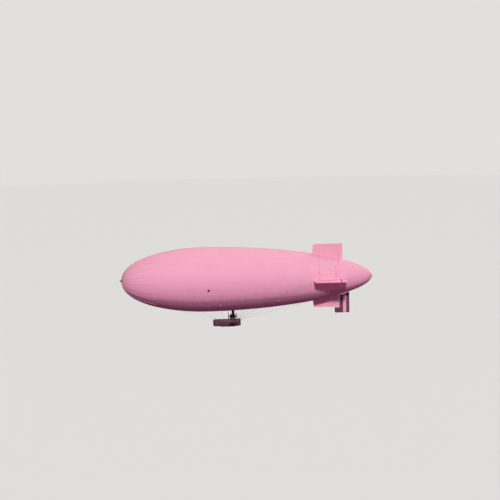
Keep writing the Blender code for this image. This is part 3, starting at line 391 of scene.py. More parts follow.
def row(count, step):
    """Repeats what is selected in a straight row."""
    for _ in range(count - 1):
        bpy.ops.mesh.duplicate_move(TRANSFORM_OT_translate={"value": step})


def capped(piece):
    """Closes a piece's open ends."""
    with bench(piece):
        bpy.ops.mesh.select_all(action="SELECT")
        bpy.ops.mesh.fill_holes(sides=0)
    return piece


def tiers(piece, axis, factor):
    """Resizes the open piece's thickness along Y, one level of an axis at a time."""
    shape = bmesh.from_edit_mesh(piece.data)
    for level in sorted({round(v.co[axis], 4) for v in shape.verts}):
        pick(piece, "verts", lambda v: abs(v.co[axis] - level) < 0.0001)
        resize((1, factor(level), 1))


def loop(point, radius, wire, normal=(0, 0, 1), sides=14):
    """A ring of round wire."""
    bpy.ops.mesh.primitive_torus_add(
        major_radius=radius, minor_radius=wire, major_segments=sides, minor_segments=6, location=point,
        rotation=Vector(normal).to_track_quat("Z", "Y").to_euler()
    )


def turned(piece, angle):
    """Turns a finished piece about the envelope's axis, in degrees."""
    piece.rotation_euler = (math.radians(angle), 0, 0)
    return joined(piece.name, [piece])


def facing(point, normal, pull=None):
    """A place whose +Z is the normal and whose +X lies towards pull."""
    normal = Vector(normal).normalized()
    if pull is None:
        turn = normal.to_track_quat("Z", "Y").to_matrix()
    else:
        along = (Vector(pull) - Vector(pull).dot(normal) * normal).normalized()
        turn = Matrix((along, normal.cross(along), normal)).transposed()
    return Matrix.Translation(point) @ turn.to_4x4()


def copied(name, piece, places):
    """Copies a piece that was made at the origin to each place, as one object."""
    made = []
    for place in places:
        take(piece)
        bpy.ops.object.duplicate()
        bpy.context.object.matrix_world = place
        made.append(bpy.context.object)
    bpy.data.objects.remove(piece, do_unlink=True)
    return joined(name, made)


def pipe(name, points, radius, sides=8, closed=False, shares=None, caps=True):
    """A bent tube through points, as a mesh; shares scale its radius at each point."""
    settle()
    bpy.ops.curve.primitive_bezier_curve_add()
    curve = bpy.context.object.data
    curve.splines.clear()
    spline = curve.splines.new("BEZIER")
    spline.bezier_points.add(len(points) - 1)
    spline.use_cyclic_u = closed
    for knot, point, share in zip(spline.bezier_points, points, shares or [1] * len(points)):
        knot.co = point
        knot.radius = share
        knot.handle_left_type = knot.handle_right_type = "AUTO"
    curve.dimensions = "3D"
    curve.resolution_u = 6
    curve.bevel_depth = radius
    curve.bevel_resolution = sides // 2 - 1
    curve.use_fill_caps = caps and not closed
    bpy.ops.object.convert(target="MESH")
    return joined(name, [bpy.context.object])


def mirrored(piece, name):
    """A copy on the other side of the airship."""
    take(piece)
    bpy.ops.object.duplicate()
    copy = bpy.context.object
    copy.scale.y = -1
    return tidy(joined(name, [copy]))


def with_mirror(name, piece):
    """A piece and its mirror image, as one object."""
    return joined(name, [piece, mirrored(piece, "other")])


def moved(place, name, piece):
    piece.matrix_world = place
    return tidy(joined(name, [piece]))


def copy_at(place, name, piece):
    take(piece)
    bpy.ops.object.duplicate()
    return moved(place, name, bpy.context.object)


def tidy(piece, merge=0.00001):
    """Merges doubles and turns all faces outwards."""
    with bench(piece):
        bpy.ops.mesh.select_all(action="SELECT")
        bpy.ops.mesh.remove_doubles(threshold=merge)
        bpy.ops.mesh.normals_make_consistent(inside=False)
    return piece


def modified(piece, kind, **settings):
    """Adds a modifier and applies it."""
    take(piece)
    modifier = piece.modifiers.new(kind.lower(), kind)
    for name, value in settings.items():
        setattr(modifier, name, value)
    bpy.ops.object.modifier_apply(modifier=modifier.name)
    return piece


def rounded(piece, width, segments, limit):
    """Rounds the edges that are sharper than a limit in degrees."""
    sharp = math.radians(limit)
    return modified(
        piece, "BEVEL", width=width, segments=segments, limit_method="ANGLE", angle_limit=sharp
    )


def thickened(piece, thickness, offset=0):
    return modified(piece, "SOLIDIFY", thickness=thickness, offset=offset)


def dress(piece, finish, smooth, replaces=(), body="airship"):
    """Gives a finished piece its shading and material, and the body that it rides on, if any."""
    take(piece)
    bpy.ops.object.shade_smooth_by_angle(angle=math.radians(smooth))
    piece.data.materials.clear()
    piece.data.materials.append(look(finish))
    if body:
        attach(piece, body)
    if replaces:
        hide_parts(*replaces)
    return piece


# The envelope's shape


def hull_radius(distance):
    if distance < WIDEST_AT:
        ahead = (WIDEST_AT - distance) / WIDEST_AT
        return HULL_RADIUS * max(1 - ahead**2, 0) ** NOSE_FULLNESS
    behind = (distance - WIDEST_AT) / (HULL_LENGTH - WIDEST_AT)
    return HULL_RADIUS * max(1 - behind**TAIL_POWER, 0) ** TAIL_FULLNESS


def nose_distance(radius):
    share = (radius / HULL_RADIUS) ** (1 / NOSE_FULLNESS)
    return WIDEST_AT * (1 - math.sqrt(1 - share))


def tail_distance(radius):
    share = (radius / HULL_RADIUS) ** (1 / TAIL_FULLNESS)
    return WIDEST_AT + (HULL_LENGTH - WIDEST_AT) * (1 - share) ** (1 / TAIL_POWER)


def on_hull(distance, angle, lift=0.0):
    """A point on the envelope, lifted off it, and its outward normal; the angle is above +Y."""
    step = 0.02
    slope = (hull_radius(distance + step) - hull_radius(distance - step)) / (2 * step)
    around = math.radians(angle)
    outward = Vector((0, math.cos(around), math.sin(around)))
    normal = (outward - Vector((slope, 0, 0))).normalized()
    point = Vector((distance - ORIGIN_AT, 0, 0)) + hull_radius(distance) * outward
    return point + lift * normal, normal


# Materials


class Wire:
    """A shader node's output that takes part in Python expressions."""

    def __init__(self, finish, socket):
        self.finish = finish
        self.socket = socket

    def join(self, operation, first, second=0.0):
        return self.finish.node("ShaderNodeMath", {"operation": operation}, {0: first, 1: second})

    def __add__(self, other):
        return self.join("ADD", self, other)

    def __radd__(self, other):
        return self.join("ADD", other, self)

    def __sub__(self, other):
        return self.join("SUBTRACT", self, other)

    def __rsub__(self, other):
        return self.join("SUBTRACT", other, self)

    def __mul__(self, other):
        return self.join("MULTIPLY", self, other)

    def __rmul__(self, other):
        return self.join("MULTIPLY", other, self)

    def __truediv__(self, other):
        return self.join("DIVIDE", self, other)

    def __mod__(self, other):
        return self.join("FLOORED_MODULO", self, other)

    def __abs__(self):
        return self.join("ABSOLUTE", self)

    def __gt__(self, other):
        return self.join("GREATER_THAN", self, other)

    def __floor__(self):
        return self.join("FLOOR", self)


class Finish:
    """A material, written as expressions on its nodes' outputs."""

    def __init__(self, name, **constants):
        self.material = bpy.data.materials.new(name)
        self.material.use_nodes = True
        self.tree = self.material.node_tree
        self.shader = self.tree.nodes["Principled BSDF"]
        for key, value in constants.items():
            self.shader.inputs[key.replace("_", " ")].default_value = value
        self.place = self.node("ShaderNodeTexCoord", out="Object")
        self.x, self.y, self.z = self.split(self.place)

    def node(self, kind, settings=None, inputs=None, out=0):
        """Adds a node: its settings first, then the values or links of its sockets."""
        made = self.tree.nodes.new(kind)
        for key, value in (settings or {}).items():
            setattr(made, key, value)
        for key, value in (inputs or {}).items():
            if isinstance(value, Wire):
                self.tree.links.new(value.socket, made.inputs[key])
            else:
                made.inputs[key].default_value = value
        return Wire(self, made.outputs[out])

    def split(self, vector):
        first = self.node("ShaderNodeSeparateXYZ", inputs={0: vector})
        outputs = first.socket.node.outputs
        return [Wire(self, outputs[key]) for key in ("X", "Y", "Z")]

    def vector(self, x, y, z):
        return self.node("ShaderNodeCombineXYZ", inputs={0: x, 1: y, 2: z})

    def noise(self, scale, detail=3.0, vector=None, roughness=0.5):
        inputs = {"Scale": scale, "Detail": detail, "Roughness": roughness}
        inputs["Vector"] = self.place if vector is None else vector
        return self.node("ShaderNodeTexNoise", inputs=inputs)

    def chance(self, x, y, z=0.0):
        """A random number for each cell."""
        return self.node(
            "ShaderNodeTexWhiteNoise", {"noise_dimensions": "3D"}, {"Vector": self.vector(x, y, z)}
        )

    def fade(self, value, low, high):
        """0 at low to 1 at high, smoothly."""
        return self.node("ShaderNodeMapRange", {"interpolation_type": "SMOOTHSTEP"}, {
            "Value": value, "From Min": low, "From Max": high
        })

    def mix(self, amount, first, second):
        """A colour between two."""
        inputs = {0: amount, 6: first, 7: second}
        for key in (6, 7):
            if isinstance(inputs[key], (tuple, list)):
                inputs[key] = (*inputs[key][:3], 1.0)
        return self.node("ShaderNodeMix", {"data_type": "RGBA"}, inputs, out=2)

    def blend(self, value, low, high, first, second):
        """The first colour where a value is low, the second where it is high."""
        return self.mix(self.fade(value, low, high), first, second)

    def feed(self, **links):
        """Links expressions to the shader's sockets."""
        for key, wire in links.items():
            self.tree.links.new(wire.socket, self.shader.inputs[key.replace("_", " ")])
        return self

    def relief(self, height, distance, strength=1.0):
        inputs = {"Height": height, "Distance": distance, "Strength": strength}
        return self.feed(Normal=self.node("ShaderNodeBump", inputs=inputs))


def shade(colour, factor):
    return tuple(min(c * factor, 1.0) for c in colour[:3])


LOOKS = {}


def look(maker):
    """A material, made once."""
    if maker.__name__ not in LOOKS:
        LOOKS[maker.__name__] = maker().material
    return LOOKS[maker.__name__]


def chosen():
    """The settings of the airship's looks."""
    return bpy.context.scene.airship_envelope


def hull_angle(made):
    return made.node("ShaderNodeMath", {"operation": "ARCTAN2"}, {0: made.z, 1: made.y})


def streaks(made):
    """Noise drawn out down the sides of the hull."""
    return made.noise(1.0, 4.0, made.vector(made.x * 3.4, 0.0, hull_angle(made) * 0.7))


def grimed(made, base, colour):
    """Paints shade on what faces down, by its normal; streaks low on the sides break its edge."""
    facing_down = -1.0 * made.split(made.node("ShaderNodeTexCoord", out="Normal"))[2]
    painted_shade = made.fade(facing_down + 0.12 * streaks(made), 0.46, 0.68)
    # Painted shade: the colour is darkened where the surface faces down.
    return made.mix(painted_shade * 0.72, base, shade(colour, 0.5))


def doped_fabric():
    """Rubbered cotton under pigmented dope, panel by panel, with painted shade on its underside."""
    settings = chosen()
    colour = chosen().fabric_colour
    made = Finish("doped_fabric", Sheen_Weight=0.08, Sheen_Roughness=0.5, Specular_IOR_Level=0.22)
    gore = math.floor(hull_angle(made) * (settings.gores / FULL_TURN))
    panel = math.floor((made.x + ORIGIN_AT) / settings.panel_length)
    own = made.chance(gore, panel)
    blotch = made.noise(0.8, 4.0)
    base = made.mix(own * 0.55, shade(colour, 0.985), shade(colour, 1.02))
    base = made.mix(made.fade(blotch, 0.45, 0.75) * 0.10, base, shade(colour, 0.78))
    low = made.fade(made.z * -1.0, 0.4, 2.3)
    base = made.mix(made.fade(streaks(made), 0.42, 0.72) * low * 0.32, base, shade(colour, 0.62))
    # The base colour gets painted shade where the envelope faces down.
    made.feed(Base_Color=grimed(made, base, colour), Roughness=0.62 + 0.14 * blotch)
    cloth = made.noise(9.0, 3.0)
    return made.relief(cloth, 0.010, 0.25)


def tape_cloth(name="tape_cloth", on_the_hull=False):
    """Doped seam tape, a little duller than the panels; on the hull it gets painted shade where it faces
    down.
    """
    colour = chosen().fabric_colour
    made = Finish(name, Specular_IOR_Level=0.22)
    blotch = made.noise(3.0, 4.0)
    worn = made.blend(blotch, 0.35, 0.75, shade(colour, 0.985), shade(colour, 0.91))
    if on_the_hull:
        # On the hull the tape's colour gets painted shade where it faces down.
        worn = grimed(made, worn, colour)
    made.feed(Base_Color=worn, Roughness=0.64 + 0.12 * blotch)
    return made.relief(made.noise(60.0, 3.0), 0.001, 0.4)


def hull_tape():
    return tape_cloth("hull_tape", True)


def rudder_cloth():
    """The rudder's three upright bands, brushed on."""
    colour, dark = chosen().fabric_colour, chosen().dark_colour
    made = Finish("rudder_cloth", Specular_IOR_Level=0.35)
    blotch = made.noise(3.0, 4.0)
    edge = made.x - (HINGE_AT - ORIGIN_AT) + (made.noise(30.0, 2.0) - 0.5) * 0.006
    first = made.mix(edge > 0.27, shade(dark, 1.5), tuple(colour))
    bands = made.mix(edge > 0.53, first, shade(dark, 1.7))
    made.feed(Base_Color=made.mix(
        made.fade(blotch, 0.4, 0.8) * 0.25, bands, shade(colour, 0.5)
    ), Roughness=0.5 + 0.15 * blotch)
    return made.relief(made.noise(25.0, 3.0), 0.003, 0.3)


def cast_metal():
    """Painted castings with the metal showing where hands and lines rub."""
    dark = chosen().dark_colour
    made = Finish("cast_metal")
    grain = made.noise(90.0, 4.0)
    wear = made.fade(made.noise(12.0, 5.0), 0.56, 0.70)
    made.feed(
        Base_Color=made.mix(wear, shade(dark, 1.3), (0.42, 0.25, 0.31)), Metallic=0.25 + 0.6 * wear,
        Roughness=0.34 + 0.25 * grain
    )
    return made.relief(grain, 0.0006, 0.5)


def car_paint():
    """Dark paint on sheet metal, chalky in places, chipped through to the metal in small spots."""
    dark = chosen().dark_colour
    made = Finish("car_paint", Metallic=0.15, Coat_Roughness=0.25)
    broad, fine = made.noise(3.0, 5.0), made.noise(60.0, 4.0)
    streak = made.noise(1.0, 4.0, made.vector(made.x * 26.0, made.y * 26.0, made.z * 3.0))
    base = made.blend(broad, 0.35, 0.7, shade(dark, 1.15), shade(dark, 1.75))
    base = made.mix(made.fade(streak, 0.55, 0.8) * 0.35, base, shade(dark, 2.8))
    chips = made.fade(fine, 0.70, 0.74)
    made.feed(
        Base_Color=made.mix(chips * 0.6, base, (0.40, 0.24, 0.30)),
        Roughness=0.30 + 0.22 * broad + 0.12 * streak, Coat_Weight=0.25 * (1 - chips)
    )
    return made.relief(broad + 0.15 * fine, 0.003, 0.35)


def varnished_wood():
    """Straight-grained timber under varnish."""
    made = Finish("varnished_wood", Coat_Roughness=0.12)
    grain = made.noise(1.0, 5.0, made.vector(made.x * 90.0, made.y * 14.0, made.z * 120.0))
    broad = made.noise(9.0, 3.0)
    base = made.mix(grain, (0.110, 0.036, 0.034), (0.25, 0.095, 0.086))
    made.feed(
        Base_Color=made.mix(made.fade(broad, 0.4, 0.8) * 0.4, base, (0.10, 0.035, 0.035)),
        Roughness=0.30 + 0.25 * grain, Coat_Weight=0.5 + 0.3 * broad
    )
    return made.relief(grain, 0.0006, 0.4)


def leather():
    """Stuffed hide, creased and polished by use."""
    made = Finish("leather", Specular_IOR_Level=0.45)
    cells = made.node(
        "ShaderNodeTexVoronoi", {"feature": "DISTANCE_TO_EDGE"}, {"Vector": made.place, "Scale": 240.0}
    )
    rubbed = made.noise(18.0, 4.0)
    base = made.blend(rubbed, 0.35, 0.75, (0.075, 0.026, 0.032), (0.19, 0.075, 0.080))
    made.feed(Base_Color=made.blend(
        cells, 0.0, 0.12, shade((0.075, 0.026, 0.032), 0.6), base
    ), Roughness=0.38 + 0.28 * rubbed)
    return made.relief(made.fade(cells, 0.0, 0.2) + 0.6 * rubbed, 0.0012, 0.5)


def rubbered_canvas():
    """Proofed canvas with a dusty face."""
    made = Finish("rubbered_canvas", Specular_IOR_Level=0.3)
    warp = made.node("ShaderNodeMath", {"operation": "SINE"}, {0: made.x * 1100.0})
    weft = made.node("ShaderNodeMath", {"operation": "SINE"}, {0: made.y * 1100.0})
    dust = made.noise(6.0, 5.0)
    base = made.blend(dust, 0.35, 0.75, (0.10, 0.042, 0.058), (0.24, 0.125, 0.155))
    made.feed(Base_Color=base, Roughness=0.66 + 0.2 * dust)
    return made.relief(warp * weft * 0.3 + dust, 0.002, 0.4)


def window_glass():
    """Clear sheet with a haze of dust."""
    made = Finish("window_glass", IOR=1.45, Transmission_Weight=0.85)
    haze = made.noise(14.0, 4.0)
    made.feed(
        Base_Color=made.mix(made.fade(haze, 0.4, 0.8) * 0.3, (0.90, 0.80, 0.84), (0.62, 0.50, 0.55)),
        Roughness=0.03 + 0.12 * made.fade(haze, 0.45, 0.8)
    )
    return made.relief(haze, 0.0004, 0.15)


def brass():
    made = Finish("brass", Metallic=0.9)
    tarnish = made.noise(45.0, 4.0)
    base = made.blend(tarnish, 0.35, 0.75, (0.62, 0.34, 0.30), (0.26, 0.11, 0.11))
    made.feed(Base_Color=base, Roughness=0.25 + 0.3 * tarnish)
    return made.relief(tarnish, 0.0004, 0.3)


def dial_face():
    made = Finish("dial_face", Coat_Weight=0.8, Coat_Roughness=0.05)
    aged = made.noise(120.0, 4.0)
    made.feed(Base_Color=made.mix(
        made.fade(aged, 0.4, 0.8) * 0.5, (0.78, 0.60, 0.62), (0.55, 0.38, 0.42)
    ), Roughness=0.35 + 0.2 * aged)
    return made.relief(aged, 0.0002, 0.2)


def patch_cloth():
    """Doubled cloth, stitched down, darkened by handling, with painted shade where it faces down."""
    colour = chosen().fabric_colour
    made = Finish("patch_cloth", Specular_IOR_Level=0.22)
    blotch = made.noise(5.0, 4.0)
    weave = made.noise(220.0, 2.0)
    worn = made.blend(blotch, 0.3, 0.75, shade(colour, 0.92), shade(colour, 0.72))
    # The handling wear is real; painted shade is added where the patch faces down.
    made.feed(Base_Color=grimed(made, worn, colour), Roughness=0.66 + 0.14 * blotch)
    return made.relief(weave + blotch, 0.0015, 0.5)


def duct_cloth():
    """Proofed sleeve cloth, creased between its hoops."""
    dark = chosen().dark_colour
    made = Finish("duct_cloth", Specular_IOR_Level=0.3)
    crease = made.noise(1.0, 4.0, made.vector(made.x * 26.0, made.y * 26.0, made.z * 5.0))
    dust = made.noise(7.0, 4.0)
    base = made.blend(dust, 0.35, 0.75, shade(dark, 1.1), shade(dark, 2.1))
    made.feed(Base_Color=base, Roughness=0.62 + 0.2 * dust)
    return made.relief(crease, 0.010, 0.5)


def aluminium():
    """Sand-cast light alloy with patches of oil."""
    made = Finish("aluminium", Metallic=0.75)
    grain, oil = made.noise(160.0, 3.0), made.noise(11.0, 5.0)
    base = made.blend(oil, 0.42, 0.72, (0.36, 0.24, 0.29), (0.10, 0.045, 0.062))
    made.feed(Base_Color=base, Roughness=0.36 + 0.2 * grain)
    return made.relief(grain, 0.0006, 0.6)


def steel():
    """Greased steel that has gone brown in places."""
    made = Finish("steel", Metallic=0.85)
    brown = made.noise(30.0, 5.0)
    base = made.blend(brown, 0.48, 0.74, (0.46, 0.33, 0.395), (0.15, 0.062, 0.075))
    made.feed(Base_Color=base, Roughness=0.30 + 0.32 * brown)
    return made.relief(brown, 0.0004, 0.4)


def hot_steel():
    """Exhaust pipe, scaled and coloured by heat."""
    made = Finish("hot_steel", Metallic=0.7)
    scale, bands = made.noise(24.0, 5.0), made.noise(5.0, 2.0)
    warm = made.blend(bands, 0.38, 0.62, (0.20, 0.085, 0.075), (0.13, 0.075, 0.115))
    base = made.blend(scale, 0.5, 0.7, warm, (0.055, 0.028, 0.034))
    made.feed(Base_Color=base, Roughness=0.42 + 0.35 * scale)
    return made.relief(scale, 0.001, 0.5)


def copper_core():
    """Radiator tubes and their fins, the gaps between the fins painted near black as shade."""
    made = Finish("copper_core", Metallic=0.6)
    fins = made.fade(abs((made.z * 260.0) % 1.0 - 0.5), 0.15, 0.35)
    grime = made.noise(16.0, 4.0)
    # Painted shade: the gaps between the fins take the near-black colour.
    base = made.mix(fins, (0.055, 0.022, 0.028), (0.24, 0.105, 0.095))
    base = made.mix(made.fade(grime, 0.45, 0.8) * 0.6, base, (0.07, 0.03, 0.04))
    made.feed(Base_Color=base, Roughness=0.45 + 0.3 * grime)
    return made.relief(fins, 0.001, 0.6)


def laminated_wood():
    """Layers of two timbers, glued, carved through and varnished."""
    made = Finish("laminated_wood", Coat_Roughness=0.08)
    wander = made.noise(4.0, 2.0)
    layer = (made.x * 95.0 + wander * 0.4) % 2.0
    grain = made.noise(1.0, 5.0, made.vector(made.x * 200.0, made.y * 160.0, made.z * 12.0))
    pale = made.mix(grain, (0.180, 0.068, 0.056), (0.27, 0.110, 0.090))
    deep = made.mix(grain, (0.115, 0.040, 0.036), (0.18, 0.066, 0.058))
    joint = 1 - made.fade(abs(layer % 1.0 - 0.5), 0.46, 0.49)
    base = made.mix(joint, (0.05, 0.018, 0.016), made.mix(layer > 1.0, pale, deep))
    made.feed(Base_Color=base, Roughness=0.28 + 0.2 * grain, Coat_Weight=0.7 + 0.2 * wander)
    return made.relief(grain, 0.0004, 0.3)


def plain_cloth():
    colour = chosen().fabric_colour
    made = Finish("plain_cloth", Specular_IOR_Level=0.22)
    blotch = made.noise(2.0, 4.0)
    made.feed(Base_Color=made.mix(
        made.fade(blotch, 0.4, 0.8) * 0.2, tuple(colour), shade(colour, 0.8)
    ), Roughness=0.55 + 0.12 * blotch)
    return made.relief(made.noise(25.0, 3.0), 0.004, 0.3)


def pale_paint():
    """Paint in the fabric's colour on small fittings, rubbed to the metal in places."""
    colour = chosen().fabric_colour
    made = Finish("pale_paint", Specular_IOR_Level=0.35)
    blotch, rub = made.noise(8.0, 4.0), made.fade(made.noise(26.0, 5.0), 0.60, 0.68)
    paint = made.blend(blotch, 0.35, 0.75, shade(colour, 0.94), shade(colour, 0.78))
    made.feed(
        Base_Color=made.mix(rub * 0.5, paint, (0.40, 0.26, 0.31)), Metallic=0.5 * rub,
        Roughness=0.45 + 0.2 * blotch
    )
    return made.relief(blotch + rub * -0.3, 0.001, 0.4)


def valve_paint():
    """Faded paint on the gas valves' plates."""
    made = Finish("valve_paint", Metallic=0.1, Specular_IOR_Level=0.35)
    blotch, chips = made.noise(10.0, 4.0), made.fade(made.noise(60.0, 4.0), 0.66, 0.72)
    faded = made.blend(blotch, 0.35, 0.75, (0.165, 0.036, 0.070), (0.250, 0.060, 0.110))
    made.feed(Base_Color=made.mix(chips, faded, (0.42, 0.26, 0.31)), Roughness=0.48 + 0.2 * blotch)
    return made.relief(blotch + chips * -0.3, 0.0008, 0.4)


def dark_paint():
    colour = chosen().dark_colour
    made = Finish("dark_paint", Metallic=0.3)
    wear = made.noise(14.0, 4.0)
    made.feed(Base_Color=made.mix(
        made.fade(wear, 0.5, 0.8) * 0.5, tuple(colour), shade(colour, 2.2)
    ), Roughness=0.38 + 0.25 * wear)
    return made.relief(wear, 0.002, 0.2)


# Settings


class EnvelopeSettings(bpy.types.PropertyGroup):
    gores: IntProperty(
        name="Gores", description="Lengthwise panels round the envelope", default=28, min=8
    )
    panel_length: FloatProperty(
        name="Panel Length", description="Distance between seams across a gore", default=0.62,
        unit="LENGTH"
    )
    tape_width: FloatProperty(
        name="Tape Width", description="Width of the seam tapes", default=0.026, unit="LENGTH"
    )
    tape_height: FloatProperty(
        name="Tape Height", description="How far a tape stands off the skin", default=0.0014,
        unit="LENGTH"
    )
    bulge: FloatProperty(
        name="Bulge", description="How far each gore swells between its seams", default=0.004,
        unit="LENGTH"
    )
    fabric_colour: FloatVectorProperty(
        name="Fabric", description="Colour of the doped fabric", default=(0.86, 0.385, 0.52),
        subtype="COLOR"
    )
    dark_colour: FloatVectorProperty(
        name="Dark Paint", description="Colour of the car and its fittings", default=(0.085, 0.03, 0.05),
        subtype="COLOR"
    )


class StageSettings(bpy.types.PropertyGroup):
    distance: FloatProperty(
        name="Camera Distance", description="From the camera to the airship", default=100.0, unit="LENGTH"
    )
    elevation: FloatProperty(
        name="Camera Elevation", description="Height of the camera above the horizon",
        default=math.radians(9.0), subtype="ANGLE"
    )
    roll: FloatProperty(
        name="Camera Roll", description="Tilt of the picture", default=math.radians(-1.32),
        subtype="ANGLE"
    )
    lens: FloatProperty(name="Lens", description="Focal length in millimetres", default=87.3)
    aim: FloatVectorProperty(
        name="Aim", description="The point that the camera looks at", default=(1.44, 0.0, 2.37),
        subtype="XYZ"
    )
    sun_elevation: FloatProperty(
        name="Sun Elevation", description="Height of the key light", default=math.radians(38.0),
        subtype="ANGLE"
    )
    sun_strength: FloatProperty(
        name="Sun Strength", description="Strength of the key light", default=2.85
    )
    fill_strength: FloatProperty(
        name="Fill Strength", description="Strength of the fill light", default=1.8
    )
    sky_strength: FloatProperty(
        name="Sky Strength", description="Strength of the soft light", default=1.0
    )
    floor_height: FloatProperty(
        name="Floor Height", description="Height of the floor under the origin", default=-80.0,
        unit="LENGTH"
    )


# Stage


def build_stage(settings):
    scene = bpy.context.scene
    scene.view_settings.view_transform = "Standard"
    back = Vector((0, -math.cos(settings.elevation), math.sin(settings.elevation)))
    settle()
    bpy.ops.object.camera_add(location=Vector(settings.aim) + settings.distance * back)
    camera = bpy.context.object
    camera.name = "camera"
    turn = (-back).to_track_quat("-Z", "Y").to_matrix() @ Matrix.Rotation(settings.roll, 3, "Z")
    camera.rotation_euler = turn.to_euler()
    camera.data.lens = settings.lens
    camera.data.sensor_width = 36.0
    camera.data.clip_end = 2000.0
    scene.camera = camera
    light_stage(settings)
    lay_floor(settings)


def lamp(name, place, strength, spread):
    """A distant lamp that shines from a direction, its spread in degrees."""
    settle()
    bpy.ops.object.light_add(type="SUN", location=40 * Vector(place))
    made = bpy.context.object
    made.name = name
    made.rotation_euler = (-Vector(place)).to_track_quat("-Z", "Y").to_euler()
    made.data.energy = strength
    made.data.angle = math.radians(spread)
    return made


def light_stage(settings):
    high = settings.sun_elevation
    lamp("key_light", (0, -math.cos(high), math.sin(high)), settings.sun_strength, KEY_SPREAD)
    fill = lamp("fill_light", FILL_FROM, settings.fill_strength, FILL_SPREAD)
    fill.visible_glossy = False
    world = bpy.data.worlds.new("studio")
    bpy.context.scene.world = world
    world.use_nodes = True
    tree = world.node_tree
    tree.nodes.clear()
    place = tree.nodes.new("ShaderNodeTexCoord")
    split = tree.nodes.new("ShaderNodeSeparateXYZ")
    tree.links.new(place.outputs["Generated"], split.inputs[0])
    ramp = tree.nodes.new("ShaderNodeValToRGB")
    ramp.color_ramp.elements[0].position = 0.42
    ramp.color_ramp.elements[0].color = SKY_BELOW
    ramp.color_ramp.elements[1].position = 0.62
    ramp.color_ramp.elements[1].color = SKY_ABOVE
    scaled = tree.nodes.new("ShaderNodeMath")
    scaled.operation = "MULTIPLY_ADD"
    scaled.inputs[1].default_value = 0.5
    scaled.inputs[2].default_value = 0.5
    tree.links.new(split.outputs["Z"], scaled.inputs[0])
    tree.links.new(scaled.outputs[0], ramp.inputs[0])
    soft = tree.nodes.new("ShaderNodeBackground")
    soft.inputs["Strength"].default_value = settings.sky_strength
    tree.links.new(ramp.outputs[0], soft.inputs["Color"])
    seen = tree.nodes.new("ShaderNodeBackground")
    seen.inputs["Color"].default_value = BACKDROP
    rays = tree.nodes.new("ShaderNodeLightPath")
    mixed = tree.nodes.new("ShaderNodeMixShader")
    tree.links.new(rays.outputs["Is Camera Ray"], mixed.inputs[0])
    tree.links.new(soft.outputs[0], mixed.inputs[1])
    tree.links.new(seen.outputs[0], mixed.inputs[2])
    out = tree.nodes.new("ShaderNodeOutputWorld")
    tree.links.new(mixed.outputs[0], out.inputs["Surface"])


def lay_floor(settings):
    with bench("floor") as floor:
        place = (0, 0, settings.floor_height)
        bpy.ops.mesh.primitive_circle_add(
            vertices=96, radius=FLOOR_RADIUS, fill_type="NGON", location=place
        )
        bpy.ops.mesh.inset(thickness=FLOOR_RADIUS / 3)
    made = Finish("pale_floor", Roughness=0.95, Specular_IOR_Level=0.1)
    made.shader.inputs["Base Color"].default_value = FLOOR_COLOUR
    floor.data.materials.append(made.material)
    floor.visible_diffuse = False
    floor.visible_glossy = False


class AIRSHIP_OT_stage(bpy.types.Operator):
    """Sets the floor, the lights and the camera"""

    bl_idname = "airship.stage"
    bl_label = "Stage"

    def execute(self, context):
        build_stage(context.scene.airship_stage)
        return {"FINISHED"}


# Envelope


def seam_stations(settings):
    count = int((HULL_LENGTH - 0.6) / settings.panel_length)
    return [settings.panel_length * i for i in range(1, count + 1)]


def skin_profile(settings):
    """Distance and radius along the skin, drawn in a little at each seam."""
    stations = [nose_distance(r) for r in (0.15, 0.22, 0.32, 0.42, 0.54, 0.68, 0.84)]
    stations += [tail_distance(r) for r in (0.10, 0.16, 0.24, 0.34, 0.44, 0.56, 0.70)]
    low, high = nose_distance(0.95), tail_distance(0.82)
    seams = seam_stations(settings)
    for seam in seams:
        for offset in (-0.5, -0.25, -0.06, 0.0, 0.06, 0.25):
            station = seam + offset * settings.panel_length
            if low < station < high:
                stations.append(station)
    profile = []
    for station in sorted(stations):
        gap = min(abs(station - seam) for seam in seams)
        drawn_in = 0.4 * settings.bulge * max(1 - gap / (0.25 * settings.panel_length), 0) ** 2
        profile.append((station, hull_radius(station) - drawn_in))
    return profile


def swell(piece, settings):
    """Swells each gore between its seams, a column at a time."""
    slice_angle = FULL_TURN / settings.gores
    step = slice_angle / COLUMNS_A_GORE
    for column in range(1, COLUMNS_A_GORE):
        out = 1 + settings.bulge / HULL_RADIUS * math.sin(math.pi * column / COLUMNS_A_GORE)
        at = column * step
        pick(piece, "verts", lambda v: abs(math.atan2(v.co.z, v.co.y) % slice_angle - at) < step / 4)
        resize((1, out, out))


def build_skin():
    settings = chosen()
    profile = skin_profile(settings)
    profile = [(s - ORIGIN_AT, r) for s, r in profile]
    ends = [(profile[0][0] + 0.004, 0), (profile[-1][0] - 0.004, 0)]
    with bench("envelope_skin") as skin:
        lathe([ends[0], *profile, ends[1]], settings.gores * COLUMNS_A_GORE)
        swell(skin, settings)
    tidy(skin)
    dress(skin, doped_fabric, 60, ["envelope"])


